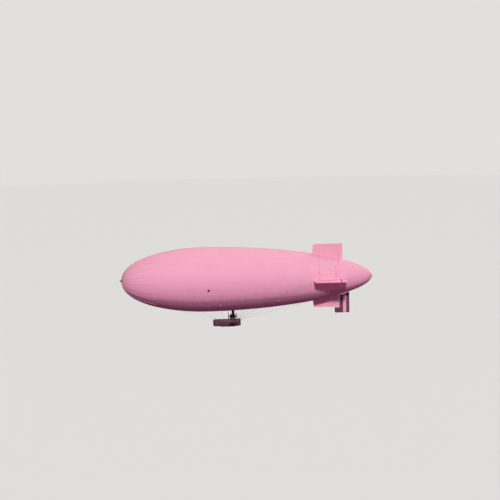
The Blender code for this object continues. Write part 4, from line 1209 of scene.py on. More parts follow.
def build_tapes():
    settings = chosen()
    half = settings.tape_width / 2
    profile = [row for row in skin_profile(settings) if row[1] > NOSE_RING_RADIUS]
    with bench("seam_tapes_long"):
        chain([(s - ORIGIN_AT, -half, r) for s, r in profile])
        push((0, settings.tape_width, 0))
        around(settings.gores)
    tapes = bpy.context.object
    thickened(tapes, 2.6 * settings.tape_height)
    dress(tidy(tapes), hull_tape, 60)
    with bench("seam_tapes_round") as tapes:
        for seam in seam_stations(settings):
            edges = (seam - half, seam + half)
            chain([(s - ORIGIN_AT, 0, hull_radius(s) - 0.4 * settings.bulge) for s in edges])
        bpy.ops.mesh.select_all(action="SELECT")
        steps = settings.gores * COLUMNS_A_GORE
        bpy.ops.mesh.spin(steps=steps, angle=FULL_TURN, center=(0, 0, 0), axis=(1, 0, 0))
        bpy.ops.mesh.select_all(action="SELECT")
        bpy.ops.mesh.remove_doubles(threshold=0.00001)
        swell(tapes, settings)
    thickened(tapes, 2 * settings.tape_height)
    dress(tidy(tapes), hull_tape, 60)


class AIRSHIP_OT_envelope(bpy.types.Operator):
    """Sews the skin of the envelope and tapes its seams"""

    bl_idname = "airship.envelope"
    bl_label = "Envelope"

    def execute(self, context):
        build_skin()
        build_tapes()
        return {"FINISHED"}


# Nose and tail fittings


def nose_face():
    return nose_distance(NOSE_OPENING) - ORIGIN_AT


def build_nose_cap():
    """The mooring spindle on its plate, grooved for the cup of a mast."""
    start = nose_face()
    with bench("nose_spindle") as cap:
        lathe([
            (-0.150, 0), (-0.150, 0.048), (-0.143, 0.058), (-0.118, 0.060), (-0.108, 0.046),
            (-0.094, 0.046), (-0.084, 0.060), (-0.074, 0.060), (-0.060, 0.068), (-0.044, 0.090),
            (-0.032, 0.094), (-0.028, 0.110), (-0.012, 0.128), (0.048, 0.128), (0.048, 0)
        ], 48, "X", (start, 0, 0))
        bolt((start - 0.040, 0.104, 0), (0.024, 0, 0), 0.007)
        around(12)
    rounded(cap, 0.0015, 2, 40)
    dress(tidy(cap), cast_metal, 35, ["nose_cap"])


def batten_strip(first, last, half, height):
    """A flat strip that follows the envelope along its top line."""
    count = max(int((last - first) / 0.16), 1)
    stations = [first + (last - first) * (i / count) ** 1.4 for i in range(count + 1)]
    points = [on_hull(s, 90, height)[0] - Vector((0, half, 0)) for s in stations]
    chain(points)
    push((0, 2 * half, 0))
    bpy.ops.mesh.select_linked()


def build_battens():
    """Stiffeners in cloth sleeves that gather at the nose ring."""
    first, last = nose_distance(NOSE_RING_RADIUS - 0.05), BATTEN_END
    with bench("nose_stiffeners") as battens:
        batten_strip(first, last, BATTEN_WIDTH / 2, 0.003)
        pick(battens, "verts", lambda v: v.co.x > last - ORIGIN_AT - 0.05)
        resize((1, 0.45, 1))
    thickened(battens, 0.026)
    rounded(battens, 0.009, 3, 50)
    with bench("stiffener_sleeves") as sleeves:
        for station in SLEEVE_STATIONS:
            batten_strip(station, station + 0.09, BATTEN_WIDTH * 0.62, 0.004)
    thickened(sleeves, 0.030)
    rounded(sleeves, 0.010, 3, 50)
    for piece in (battens, sleeves):
        with bench(piece):
            bpy.ops.mesh.select_all(action="SELECT")
            around(BATTEN_COUNT)
        tidy(piece)
    dress(battens, hull_tape, 45, ["nose_battens"])
    dress(sleeves, hull_tape, 45)


def build_nose_ring():
    start = nose_face()
    rim = nose_distance(NOSE_RING_RADIUS) - ORIGIN_AT
    with bench("nose_ring") as ring:
        lathe([
            (start - 0.013, 0.132), (start - 0.014, 0.186), (start + 0.004, 0.226), (rim - 0.002, 0.294),
            (rim + 0.014, 0.318), (rim + 0.030, 0.320), (rim + 0.034, 0.300), (start + 0.030, 0.200),
            (start + 0.020, 0.132)
        ], 60, close=True)
        bolt((rim - 0.022, 0.270, 0), (0.032, -0.008, 0), 0.006)
        around(2 * BATTEN_COUNT)
    rounded(ring, 0.002, 2, 40)
    dress(tidy(ring), cast_metal, 35)


def build_tail_cap():
    end = tail_distance(TAIL_OPENING) - ORIGIN_AT
    with bench("tail_plate") as cap:
        lathe([
            (-0.045, 0), (-0.045, 0.078), (-0.002, 0.078), (-0.002, 0.100), (0.010, 0.100),
            (0.014, 0.086), (0.020, 0.066), (0.026, 0.034), (0.034, 0.018), (0.034, 0)
        ], 40, "X", (end, 0, 0))
        bolt((end + 0.004, 0.088, 0), (0.016, -0.004, 0), 0.006)
        around(8)
    rounded(cap, 0.0015, 2, 40)
    dress(tidy(cap), cast_metal, 35, ["tail_cap"])


class AIRSHIP_OT_nose(bpy.types.Operator):
    """Makes the mooring spindle, the nose ring, its stiffeners and the tail plate"""

    bl_idname = "airship.nose"
    bl_label = "Nose and Tail Fittings"

    def execute(self, context):
        build_nose_cap()
        build_nose_ring()
        build_battens()
        build_tail_cap()
        return {"FINISHED"}


# Valves


def gas_valve(radius):
    """A caged disc on a bolted ring, facing +Z."""
    with bench("valve") as valve:
        lathe([
            (-0.020, radius), (0.006, radius), (0.010, 0.96 * radius), (0.010, 0.84 * radius),
            (0.016, 0.82 * radius), (0.016, 0.78 * radius), (0.006, 0.76 * radius),
            (0.006, 0.70 * radius), (0.012, 0.66 * radius), (0.018, 0.30 * radius), (0.020, 0)
        ], 40, "Z")
        bolt((0.90 * radius, 0, 0.008), (0, 0, 0.007), 0.005)
        around(16, "Z")
        rod((0.79 * radius, 0, 0.012), (0.60 * radius, 0, 0.030), 0.003, sides=6)
        rod((0.60 * radius, 0, 0.029), (0, 0, 0.0315), 0.003, sides=6)
        pick(valve, "verts", lambda v: v.co.z > 0.0205)
        around(8, "Z")
        stepped((0, 0, 0), UP, ((0.015, 0.012), (0.033, 0.012), (0.035, 0.009)), 12)
        loop((0, 0, 0.030), 0.60 * radius, 0.003, sides=24)
    return valve


def air_valve(radius):
    """A cloth-faced flap under a light grid, on a sewn flange, facing +Z."""
    with bench("valve") as valve:
        lathe([
            (-0.018, radius), (0.003, radius), (0.006, 0.95 * radius), (0.007, 0.80 * radius),
            (0.020, 0.78 * radius), (0.024, 0.74 * radius), (0.024, 0.68 * radius),
            (0.012, 0.66 * radius), (0.017, 0.30 * radius), (0.018, 0)
        ], 36, "Z")
        rod((0.70 * radius, 0, 0.024), (-0.70 * radius, 0, 0.024), 0.003, sides=6)
        around(3, "Z", angle=math.pi)
        stepped((0, 0, 0), UP, ((0.012, 0.014), (0.027, 0.014), (0.029, 0.011)), 12)
    return valve


# Valves: stem, distance from the nose, angle, radius, maker, finish and slot
VALVES = (
    ("gas_valve", 7.28, -10.0, 0.105, gas_valve, valve_paint, "dark_metal"),
    ("air_valve_fore", 8.17, -45.0, 0.085, air_valve, hull_tape, "fabric"),
    ("air_valve_aft", 12.95, -45.0, 0.085, air_valve, hull_tape, "fabric")
)


class AIRSHIP_OT_valves(bpy.types.Operator):
    """Makes the gas valves and the air valves"""

    bl_idname = "airship.valves"
    bl_label = "Valves"

    def execute(self, context):
        for stem, distance, angle, radius, maker, finish, slot in VALVES:
            places = []
            for sign in SIDES.values():
                point, normal = on_hull(distance, angle if sign > 0 else 180 - angle, 0.001)
                places.append(facing(point, normal, (-1, 0, 0)))
            valves = copied(f"{stem}s", maker(radius), places)
            nodes = [f"{stem}_{side}" for side in SIDES]
            dress(tidy(valves), finish, 35, nodes)
        return {"FINISHED"}


# Tail surfaces: made upright like the top fin, then turned to their place


def fin_thickness(tip):
    root = hull_radius(HINGE_AT) - 0.35
    return lambda height: FIN_DEPTH + (FIN_TIP_DEPTH - FIN_DEPTH) * (height - root) / (tip - root)


def levels(start, end, count, between=4):
    """The places of ribs and of the lines between them."""
    return [start + (end - start) * i / (count * between) for i in range(1, count * between)]


def sag(value, start, end, count, depth):
    """How much the cloth sinks between ribs."""
    share = (value - start) / (end - start) * count
    return 1 - depth * math.sin(math.pi * (share % 1)) ** 2


def fin_skin(name, tip, end):
    corner = (FIN_START + FIN_RAKE + FIN_CORNER, tip - FIN_CORNER)
    outline = [*arc(corner, FIN_CORNER, 180, 90, 6), (end, tip)]
    root = [end - (end - FIN_START - 0.04) * i / 8 for i in range(9)]
    outline += [(s, hull_radius(s) - 0.02) for s in root]
    low = hull_radius(end)
    thick = fin_thickness(tip)
    with bench(name) as fin:
        prism([(s - ORIGIN_AT, -0.5, h) for s, h in outline], (0, 1, 0))
        for height in levels(low, tip, FIN_RIBS):
            cut((0, 0, height), UP)
        for station in levels(FIN_START, end, FIN_SPARS):
            cut((station - ORIGIN_AT, 0, 0), AFT)
        tiers(fin, 2, lambda h: thick(h) * sag(h, low, tip, FIN_RIBS, 0.09))
        tiers(fin, 0, lambda x: sag(x + ORIGIN_AT, FIN_START, end, FIN_SPARS, 0.05))
    rounded(fin, 0.024, 3, 50)
    return tidy(fin)


def fin_tapes(name, tip, end):
    """Tapes over the ribs and spars, and the sewn-down strip along the root."""
    low = hull_radius(end)
    thick = fin_thickness(tip)
    fore = FIN_START + FIN_RAKE + 0.03 - ORIGIN_AT
    aft = end - 0.02 - ORIGIN_AT
    with bench(name) as tapes:
        for i in range(1, FIN_RIBS):
            height = low + (tip - low) * i / FIN_RIBS
            half = thick(height) / 2 + 0.0012
            start = max(fore, first_outside(height + 0.01) - ORIGIN_AT)
            box((start, -half, height - 0.014), (aft, half, height + 0.014))
        for i in range(1, FIN_SPARS):
            x = FIN_START + (end - FIN_START) * i / FIN_SPARS - ORIGIN_AT
            root = hull_radius(x + ORIGIN_AT) - 0.01
            wide, narrow = thick(root) / 2 + 0.001, thick(tip) / 2 + 0.001
            outline = [(-wide, root), (wide, root), (narrow, tip - 0.028), (-narrow, tip - 0.028)]
            prism([(x - 0.014, y, z) for y, z in outline], (0.028, 0, 0))
        half = thick(hull_radius(FIN_START)) / 2 - 0.006
        for station in (FIN_START + 0.05, end - 0.012):
            low = hull_radius(station) - 0.009
            for side in (-1, 1):
                gusset = [(side * half, low + 0.054), (side * (half + 0.058), low), (side * half, low)]
                prism([(station - ORIGIN_AT, y, z) for y, z in gusset], (0.002, 0, 0))
    tidy(tapes)
    with bench("root_strips") as strips:
        stations = [FIN_START + 0.05 + (end - FIN_START - 0.06) * i / 12 for i in range(13)]
        for side in (-1, 1):
            chain([(s - ORIGIN_AT, side * half, hull_radius(s) + 0.045) for s in stations])
            push((0, side * 0.058, -0.052))
    thickened(strips, 0.002)
    return joined(name, [tapes, tidy(strips)])


def first_outside(height):
    """The distance at which the envelope's top line falls below a height."""
    station = WIDEST_AT
    while hull_radius(station) > height:
        station += 0.02
    return station


def fin_hinges(name, heights, end):
    """Forged rings round the torque tube, bolted to the fin."""
    x = HINGE_AT - ORIGIN_AT
    with bench(name) as hinges:
        lathe([
            (-0.020, 0.0303), (-0.020, 0.046), (-0.013, 0.052), (0.013, 0.052), (0.020, 0.046),
            (0.020, 0.0303)
        ], 32, "Z", (x, 0, 0), close=True)
        box((end - 0.06 - ORIGIN_AT, -0.018, -0.016), (x - 0.040, 0.018, 0.016), 0.003)
        for step in (0.0, 0.024):
            place = end - 0.012 - step - ORIGIN_AT
            bolt((place, -0.026, 0), (0, 0.052, 0), 0.006)
        bpy.ops.mesh.select_all(action="SELECT")
        bpy.ops.transform.translate(value=(0, 0, heights[0]))
        for low, high in zip(heights, heights[1:]):
            bpy.ops.mesh.duplicate_move(TRANSFORM_OT_translate={"value": (0, 0, high - low)})
    return hinges


def moving_skin(name, outline, chord, cuts, bays):
    """A moving surface, thick at its hinges and thin at its trailing edge."""
    low, high, count = bays
    hinge = HINGE_AT - ORIGIN_AT
    with bench(name) as panel:
        prism([(s - ORIGIN_AT, -0.5, h) for s, h in outline], (0, 1, 0))
        for height in levels(low, high, count):
            cut((0, 0, height), UP)
        for x in cuts:
            cut((hinge + x, 0, 0), AFT)

        def thick(x):
            share = min(max((x - hinge) / chord, 0.0), 1.0)
            ahead = min(max((x - hinge + RUDDER_BALANCE) / 0.2, 0.0), 1.0)
            return PANEL_DEPTH + (EDGE_DEPTH - PANEL_DEPTH) * share - 0.02 * (1 - ahead) ** 2

        tiers(panel, 0, thick)
        tiers(panel, 2, lambda h: sag(h, low, high, count, 0.14))
    rounded(panel, 0.006, 3, 50)
    return tidy(panel)


def panel_tapes(name, chord, low, high, bays):
    """Tapes over the ribs of a moving surface."""
    hinge = HINGE_AT - ORIGIN_AT
    fore, aft = hinge + 0.004, hinge + chord - 0.012
    wide, narrow = PANEL_DEPTH / 2 + 0.0012, EDGE_DEPTH / 2 + 0.0012
    with bench(name) as tapes:
        for height in levels(low, high, bays, 1):
            outline = [(fore, -wide), (aft, -narrow), (aft, narrow), (fore, wide)]
            prism([(x, y, height - 0.011) for x, y in outline], (0, 0, 0.022))
    return tidy(tapes)


def notches(heights, descending=False):
    """The leading edge's cut-outs for the hinge rings."""
    points = []
    for height in sorted(heights, reverse=descending):
        way = -1 if descending else 1
        near, far = height - way * 0.035, height + way * 0.035
        points += [(HINGE_AT, near), (HINGE_AT + 0.075, near), (HINGE_AT + 0.075, far), (HINGE_AT, far)]
    return points


def torque_tube(name, low, high):
    x = HINGE_AT - ORIGIN_AT
    with bench(name) as tube:
        stepped((x, 0, low), UP, bar(high - low, 0.030, 0.006, 0.024), 32)
    return tidy(tube)


def build_rudder():
    end = HINGE_AT + RUDDER_CHORD
    root, root_aft = hull_radius(HINGE_AT) + 0.065, hull_radius(end) + 0.065
    corner = (end - 0.06, RUDDER_BOTTOM - 0.06)
    front = HINGE_AT - RUDDER_BALANCE
    fore_corner = (front + 0.12, RUDDER_BOTTOM - 0.12)
    outline = [
        (HINGE_AT, root), (end, root_aft), *arc(corner, 0.06, 0, 90, 4),
        *arc(fore_corner, 0.12, 90, 180, 6), (front, RUDDER_BALANCE_TOP), (HINGE_AT, RUDDER_BALANCE_TOP),
        *notches(RUDDER_HINGES, descending=True)
    ]
    cuts = [-0.35, -0.27, -0.18, -0.09] + [RUDDER_CHORD * i / 9 for i in range(9)]
    skin = moving_skin("rudder_skin", outline, RUDDER_CHORD, cuts, (root, RUDDER_BOTTOM, RUDDER_BAYS))
    tube = torque_tube("rudder_tube", hull_radius(HINGE_AT) + 0.045, RUDDER_BOTTOM - 0.004)
    dress(turned(skin, 180), rudder_cloth, 40, ["rudder"], body="rudder")
    dress(turned(tube, 180), dark_paint, 35, body="rudder")
    tapes = panel_tapes("rudder_tapes", RUDDER_CHORD, root, RUDDER_BOTTOM, RUDDER_BAYS)
    dress(turned(tapes, 180), rudder_cloth, 40, body="rudder")


def build_elevator(side, sign):
    end = HINGE_AT + ELEVATOR_CHORD
    root, root_aft = hull_radius(HINGE_AT) + 0.05, hull_radius(end) + 0.05
    tip = SIDE_FIN_HEIGHT
    outline = [
        (HINGE_AT, root), (end, root_aft), (end, tip - 0.13), (end - 0.02, tip - 0.10),
        (end - 0.10, tip - 0.02), (end - 0.13, tip), (HINGE_AT, tip),
        *notches(ELEVATOR_HINGES, descending=True)
    ]
    cuts = [ELEVATOR_CHORD * i / 6 for i in range(1, 6)]
    name = f"elevator_{side}"
    skin = moving_skin(f"{name}_skin", outline, ELEVATOR_CHORD, cuts, (root, tip, ELEVATOR_BAYS))
    tube = torque_tube(f"{name}_tube", root + 0.004, tip - 0.004)
    turn = -90 * sign
    dress(turned(skin, turn), plain_cloth, 40, [name], body=name)
    dress(turned(tube, turn), dark_paint, 35, body=name)
    tapes = panel_tapes(f"{name}_tapes", ELEVATOR_CHORD, root, tip, ELEVATOR_BAYS)
    dress(turned(tapes, turn), tape_cloth, 40, body=name)


class AIRSHIP_OT_tail(bpy.types.Operator):
    """Makes the fins, the rudder and the elevators"""

    bl_idname = "airship.tail"
    bl_label = "Tail Surfaces"

    def execute(self, context):
        for name, tip, end, turn, heights in FINS:
            fin = turned(fin_skin(f"{name}_skin", tip, end), turn)
            dress(fin, plain_cloth, 40, [name])
            tapes = turned(fin_tapes(f"{name}_tapes", tip, end), turn)
            dress(tapes, tape_cloth, 40)
            if heights:
                hinges = turned(fin_hinges(f"{name}_hinges", heights, end), turn)
                dress(tidy(hinges), dark_paint, 35)
        build_rudder()
        for side, sign in SIDES.items():
            build_elevator(side, sign)
        return {"FINISHED"}


# Frame


class AIRSHIP_OT_frame(bpy.types.Operator):
    """Gives the part's own nodes a plain material, under the pieces that replace them"""

    bl_idname = "airship.frame"
    bl_label = "Frame"

    def execute(self, context):
        cloth = look(plain_cloth)
        dark = look(dark_paint)
        pale = ("fin_", "rudder", "elevator_port", "elevator_starboard", "nose_battens", "air_valve")
        for name, node in frame["nodes"].items():
            node.data.materials.clear()
            fabric = name.startswith(pale) and "wheel" not in name
            node.data.materials.append(cloth if fabric else dark)
        return {"FINISHED"}


# Car


def car_profile(x, out=0.0, top=0.0):
    """The car's section at a station, from the port rim round to starboard."""
    rows = CAR_SECTIONS
    for first, second in zip(rows, rows[1:]):
        if x <= second[0]:
            break
    share = min(max((x - first[0]) / (second[0] - first[0]), 0), 1)
    half, bottom, bilge = (a + (b - a) * share for a, b in zip(first[1:], second[1:]))
    half, bottom, bilge = half + out, bottom - out, bilge + out
    port = arc((-half + bilge, bottom + bilge), bilge, 180, 270, 6)
    starboard = arc((half - bilge, bottom + bilge), bilge, 270, 360, 6)
    outline = [(-half, CAR_RIM + top), *port, *starboard, (half, CAR_RIM + top)]
    return [(x, y, z) for y, z in outline]


def car_shell():
    stations = [-1.76, -1.74, -1.72, -1.675, -1.63, -1.53, -1.40, -1.25, -0.75, -0.25]
    stations += [0.20, 0.30, 0.40, 0.45, 0.50, 0.53]
    with bench("car_shell") as shell:
        for x in stations:
            chain(car_profile(x, top=-0.012))
        pick(shell, "edges", lambda e: True)
        bpy.ops.mesh.bridge_edge_loops()
        for x in (stations[0], stations[-1]):
            pick(shell, "verts", lambda v: abs(v.co.x - x) < 0.001)
            bpy.ops.mesh.edge_face_add()
        for x in (stations[0], stations[-1]):
            pick(shell, "edges", lambda e: all(
                abs(v.co.x - x) < 0.001 for v in e.verts
            ) and len(e.link_faces) == 2)
            bpy.ops.mesh.bevel(offset=0.012, segments=3, affect="EDGES")
    tidy(shell)
    modified(shell, "SOLIDIFY", thickness=0.008, offset=-1, use_even_offset=True)
    dress(tidy(shell), car_paint, 30, ["car_hull"])


def rivet(point, way):
    stepped(point, way, ((-0.002, 0.0042), (0.0012, 0.0038), (0.0024, 0.002)), 6)


def car_straps():
    """Butt straps over the joints of the sheets, with their rivets."""
    with bench("car_straps") as straps:
        for x in STRAP_STATIONS:
            chain(car_profile(x, out=0.0006, top=-0.014))
            push((STRAP_WIDTH, 0, 0))
    thickened(straps, 0.003)
    tidy(straps)
    with bench("car_rivets") as rivets:
        for x in STRAP_STATIONS:
            half = car_profile(x + STRAP_WIDTH / 2)[-1][1]
            for offset in (0.006, STRAP_WIDTH - 0.006):
                rivet((x + offset, half + 0.0015, CAR_RIM - 0.03), (0, 1, 0))
                row(9, (0, 0, -0.042))
        rivet((STRAP_STATIONS[0], 0.2725, CAR_RIM - 0.018), (0, 1, 0))
        row(34, (0.042, 0, 0))
    other = mirrored(rivets, "car_rivets_port")
    with bench("car_rivets_keel") as keel:
        for x in STRAP_STATIONS:
            for offset in (0.006, STRAP_WIDTH - 0.006):
                rivet((x + offset, -0.12, car_profile(x)[7][2] - 0.0015), (0, 0, -1))
                row(7, (0, 0.04, 0))
    straps = joined("car_straps", [straps, rivets, other, keel])
    dress(straps, car_paint, 30)


def strake(side):
    """A half-round spray strake along the bilge."""
    with bench("strake"):
        start, end = (-1.34, side * 0.268, STRAKE_Z), (0.24, side * 0.268, STRAKE_Z)
        rod(start, end, 0.008, sides=12)
        rod(start, (-1.40, side * 0.258, STRAKE_Z), 0.008, 12, 0.003)
        rod(end, (0.30, side * 0.258, STRAKE_Z), 0.008, 12, 0.003)
    return bpy.context.object


def louvres(side):
    """Pressed vents that let air out of the tank bay."""
    with bench("louvres") as vents:
        stepped((0.10, side * 0.266, -3.66), UP, bar(0.112, 0.013, 0.012, 0.004), 10)
        row(5, (0.031, 0, 0))
    return vents


def car_fittings():
    pieces = []
    for side in (-1, 1):
        pieces += [strake(side), louvres(side)]
        step = [(x, side * y, z) for x, y, z in STEP_PATH]
        pieces.append(pipe("step", step, 0.006))
        rail = [(x, side * y, z) for x, y, z in GRAB_RAIL]
        pieces.append(pipe("grab_rail", rail, 0.005))
        with bench("stanchions") as posts:
            for x, y, z in GRAB_RAIL[1:-1]:
                stepped((x, side * y, CAR_RIM - 0.004), UP, (
                    (0, 0.012), (0.006, 0.012), (0.008, 0.004), (z - CAR_RIM, 0.004)
                ), 10)
        pieces.append(posts)
    with bench("keel_strips") as keel:
        box((-1.60, -0.012, -3.975), (-1.15, 0.012, -3.966), 0.003)
        box((0.07, -0.012, -3.975), (0.20, 0.012, -3.966), 0.003)
    pieces.append(keel)
    fittings = joined("car_fittings", pieces)
    dress(tidy(fittings), dark_paint, 35)


def rounded_rectangle(centre, length, width, corner, steps=5):
    x, y = length / 2 - corner, width / 2 - corner
    points = []
    for sx, sy, start in ((1, 1, 0), (-1, 1, 90), (-1, -1, 180), (1, -1, 270)):
        points += arc((centre[0] + sx * x, centre[1] + sy * y), corner, start, start + 90, steps)
    return points


def crown(y):
    return DECK_CROWN * (1 - (y / 0.27) ** 2)


def car_deck():
    """The crowned top of the car, open over the cockpits and the tank."""
    starboard = [(row[0], row[1]) for row in CAR_SECTIONS]
    outline = starboard + [(x, -y) for x, y in reversed(starboard)]
    with bench("deck_sheet") as deck:
        prism([(x, y, CAR_RIM - 0.012) for x, y in outline], (0, 0, 0.008))
        for y in (-0.24, -0.20, -0.15, -0.10, -0.05, 0, 0.05, 0.10, 0.15, 0.20, 0.24):
            cut((0, y, 0), STARBOARD)
        for x in (-1.5, -1.25, -1.0, -0.75, -0.5, -0.2, 0.1):
            cut((x, 0, 0), AFT)
        shape = bmesh.from_edit_mesh(deck.data)
        for level in sorted({round(abs(v.co.y), 4) for v in shape.verts}):
            pick(deck, "verts", lambda v: abs(abs(v.co.y) - level) < 0.0001)
            bpy.ops.transform.translate(value=(0, 0, crown(level)))
    tidy(deck)
    openings = [((x, 0), COCKPIT_LENGTH, COCKPIT_WIDTH, COCKPIT_CORNER) for x in COCKPITS.values()]
    openings.append(((TANK_X, 0), 0.23, 0.34, 0.02))
    for opening in openings:
        with bench("opening") as tool:
            points = rounded_rectangle(*opening)
            prism([(x, y, CAR_RIM - 0.05) for x, y in points], (0, 0, 0.1))
        tidy(tool)
        modified(deck, "BOOLEAN", operation="DIFFERENCE", object=tool, solver="EXACT")
        bpy.data.objects.remove(tool, do_unlink=True)
    dress(tidy(deck), car_paint, 30, ["car_deck"])
    with bench("deck_edge") as edge:
        chain([(x, y, CAR_RIM - 0.008) for x, y in outline], close=True)
    take(edge)
    bpy.ops.object.convert(target="CURVE")
    edge.data.bevel_depth = 0.006
    edge.data.bevel_resolution = 2
    bpy.ops.object.convert(target="MESH")
    dress(tidy(joined("deck_edge", [edge])), dark_paint, 40)


def coaming_rolls():
    """Stuffed leather rolls laced round the cockpit openings."""
    for name, x in COCKPITS.items():
        outline = rounded_rectangle((x, 0), COCKPIT_LENGTH + 0.022, COCKPIT_WIDTH + 0.022, 0.08, 4)
        settle()
        bpy.ops.curve.primitive_bezier_curve_add()
        curve = bpy.context.object.data
        curve.splines.clear()
        spline = curve.splines.new("POLY")
        points = densified([(px, py, CAR_RIM + 0.003 + 0.8 * crown(py)) for px, py in outline], 0.0105)
        spline.points.add(len(points) - 1)
        spline.use_cyclic_u = True
        for i, (knot, point) in enumerate(zip(spline.points, points)):
            knot.co = (*point, 1)
            knot.radius = 1.0 - 0.16 * (i % 4 == 0) - 0.03 * (i % 4 in (1, 3))
        curve.dimensions = "3D"
        curve.bevel_depth = 0.0125
        curve.bevel_resolution = 4
        bpy.ops.object.convert(target="MESH")
        roll = tidy(joined(f"coaming_{name}", [bpy.context.object]))
        modified(roll, "SUBSURF", levels=1, render_levels=1)
        dress(roll, leather, 60)


def densified(points, step):
    """Evenly spaced points round a closed line."""
    made = []
    for first, second in zip(points, points[1:] + points[:1]):
        first, second = Vector(first), Vector(second)
        count = max(round((second - first).length / step), 1)
        made += [first.lerp(second, i / count) for i in range(count)]
    return made


def stuffed(name, low, high, voxel, pinned, pressure=4.0, cap=0.008, frames=16):
    """A pad blown up by cloth simulation from a block, held where it is pinned."""
    with bench(name) as pad:
        box(low, high, 0.25 * min(b - a for a, b in zip(low, high)))
    modified(pad, "REMESH", mode="VOXEL", voxel_size=voxel)
    before = [v.co.copy() for v in pad.data.vertices]
    group = pad.vertex_groups.new(name="held")
    for vertex in pad.data.vertices:
        if pinned(vertex.co):
            group.add([vertex.index], 1.0, "REPLACE")
    take(pad)
    cloth = pad.modifiers.new("cloth", "CLOTH")
    cloth.settings.quality = 5
    cloth.settings.mass = 0.15
    cloth.settings.use_pressure = True
    cloth.settings.uniform_pressure_force = pressure
    cloth.settings.effector_weights.gravity = 0
    cloth.settings.vertex_group_mass = "held"
    scene = bpy.context.scene
    for frame_number in range(1, frames + 1):
        scene.frame_set(frame_number)
    graph = bpy.context.evaluated_depsgraph_get()
    after = [v.co.copy() for v in pad.evaluated_get(graph).data.vertices]
    pad.modifiers.remove(cloth)
    scene.frame_set(1)
    for vertex, start, end in zip(pad.data.vertices, before, after):
        move = end - start
        vertex.co = start + move * min(1.0, cap / max(move.length, 1e-6))
    pad.vertex_groups.clear()
    modified(pad, "SMOOTH", factor=0.5, iterations=2)
    return modified(pad, "SUBSURF", levels=1, render_levels=1)


def seats():
    floor = CAR_FLOOR
    cushion = stuffed(
        "cushion", (-0.055, -0.122, floor + 0.144), (0.105, 0.122, floor + 0.163), 0.005,
        lambda p: any((p.x - bx) ** 2 + (p.y - by) ** 2 < 0.00008 for bx, by in BUTTONS)
    )
    pad = stuffed(
        "back_pad", (0.108, -0.118, floor + 0.185), (0.120, 0.118, floor + 0.385), 0.005,
        lambda p: any(abs(p.y - y) < 0.0035 for y in (-0.06, 0, 0.06)), pressure=3.0, cap=0.006
    )
    pad.rotation_euler = (0, SEAT_LEAN, 0)
    pivot = Vector((0.1275, 0, floor + 0.27))
    pad.location = pivot - Matrix.Rotation(SEAT_LEAN, 3, "Y") @ pivot
    pad = joined("back_pad", [pad])
    for name, x in COCKPITS.items():
        place = Matrix.Translation((x, 0, 0))
        for piece, label in ((cushion, "seat_cushion"), (pad, "seat_back_pad")):
            copy = dress(copy_at(place, f"{label}_{name}", piece), leather, 60)
        dress(seat_frame(name, x), varnished_wood, 35, [f"seat_{name}"])
        with bench(f"seat_buttons_{name}") as buttons:
            for bx, by in BUTTONS:
                stepped((x + bx, by, floor + 0.155), UP, ((0, 0.005), (0.008, 0.006), (0.010, 0.003)), 8)
        dress(tidy(buttons), brass, 35)
    for piece in (cushion, pad):
        bpy.data.objects.remove(piece, do_unlink=True)


def seat_frame(name, x):
    """A slatted box, a pan and a leaning back board."""
    floor = CAR_FLOOR
    with bench(f"seat_frame_{name}") as seat:
        for fore in (-0.038, 0.088):
            for y in (-0.096, 0.086):
                box((x + fore, y, floor), (x + fore + 0.012, y + 0.012, floor + 0.13), 0.002)
        for height in (0.02, 0.07):
            for y in (-0.098, 0.090):
                box((x - 0.038, y, floor + height), (x + 0.10, y + 0.008, floor + height + 0.03), 0.002)
            box((x - 0.040, -0.098, floor + height), (x - 0.032, 0.098, floor + height + 0.03), 0.002)
        box((x - 0.06, -0.13, floor + 0.130), (x + 0.13, 0.13, floor + 0.142), 0.003)
        tilt = (0, SEAT_LEAN, 0)
        for y in (-0.12, -0.04, 0.04):
            box((x + 0.124, y, floor + 0.145), (x + 0.134, y + 0.074, floor + 0.395), 0.003, tilt)
        box((x + 0.155, -0.125, floor + 0.36), (x + 0.167, 0.125, floor + 0.39), 0.003, tilt)
    return tidy(seat)


def windscreens():
    """Curved-top panes in metal frames, leaning back."""
    lean = math.radians(20)
    outline = [
        (-0.14, 0), (0.14, 0), *arc((0.08, 0.09), 0.06, 0, 90, 5), *arc((-0.08, 0.09), 0.06, 90, 180, 5)
    ]
    tilt = Matrix.Rotation(lean, 4, "Y")
    for name, x in COCKPITS.items():
        place = Matrix.Translation(
            (x - COCKPIT_LENGTH / 2 - 0.046, 0, CAR_RIM + 0.002 + DECK_CROWN)
        ) @ tilt
        with bench("pane") as pane:
            prism([(-0.0015, y, z) for y, z in outline], (0.003, 0, 0))
        dress(
            moved(place, f"windscreen_pane_{name}", pane), window_glass, 30,
            [f"windscreen_{name}"]
        )
        border = pipe("border", [(0, y, z) for y, z in [*outline[1:], outline[0]]], 0.0042)
        with bench("feet") as feet:
            box((-0.012, -0.145, -0.010), (0.012, 0.145, -0.001), 0.002)
            for y in (-0.10, 0.10):
                box((-0.004, y - 0.008, -0.004), (0.004, y + 0.008, 0.022), 0.002)
                bolt((-0.008, y, 0.014), (0.016, 0, 0), 0.004)
        border = joined("border", [border, feet])
        dress(moved(place, f"windscreen_frame_{name}", border), cast_metal, 35)


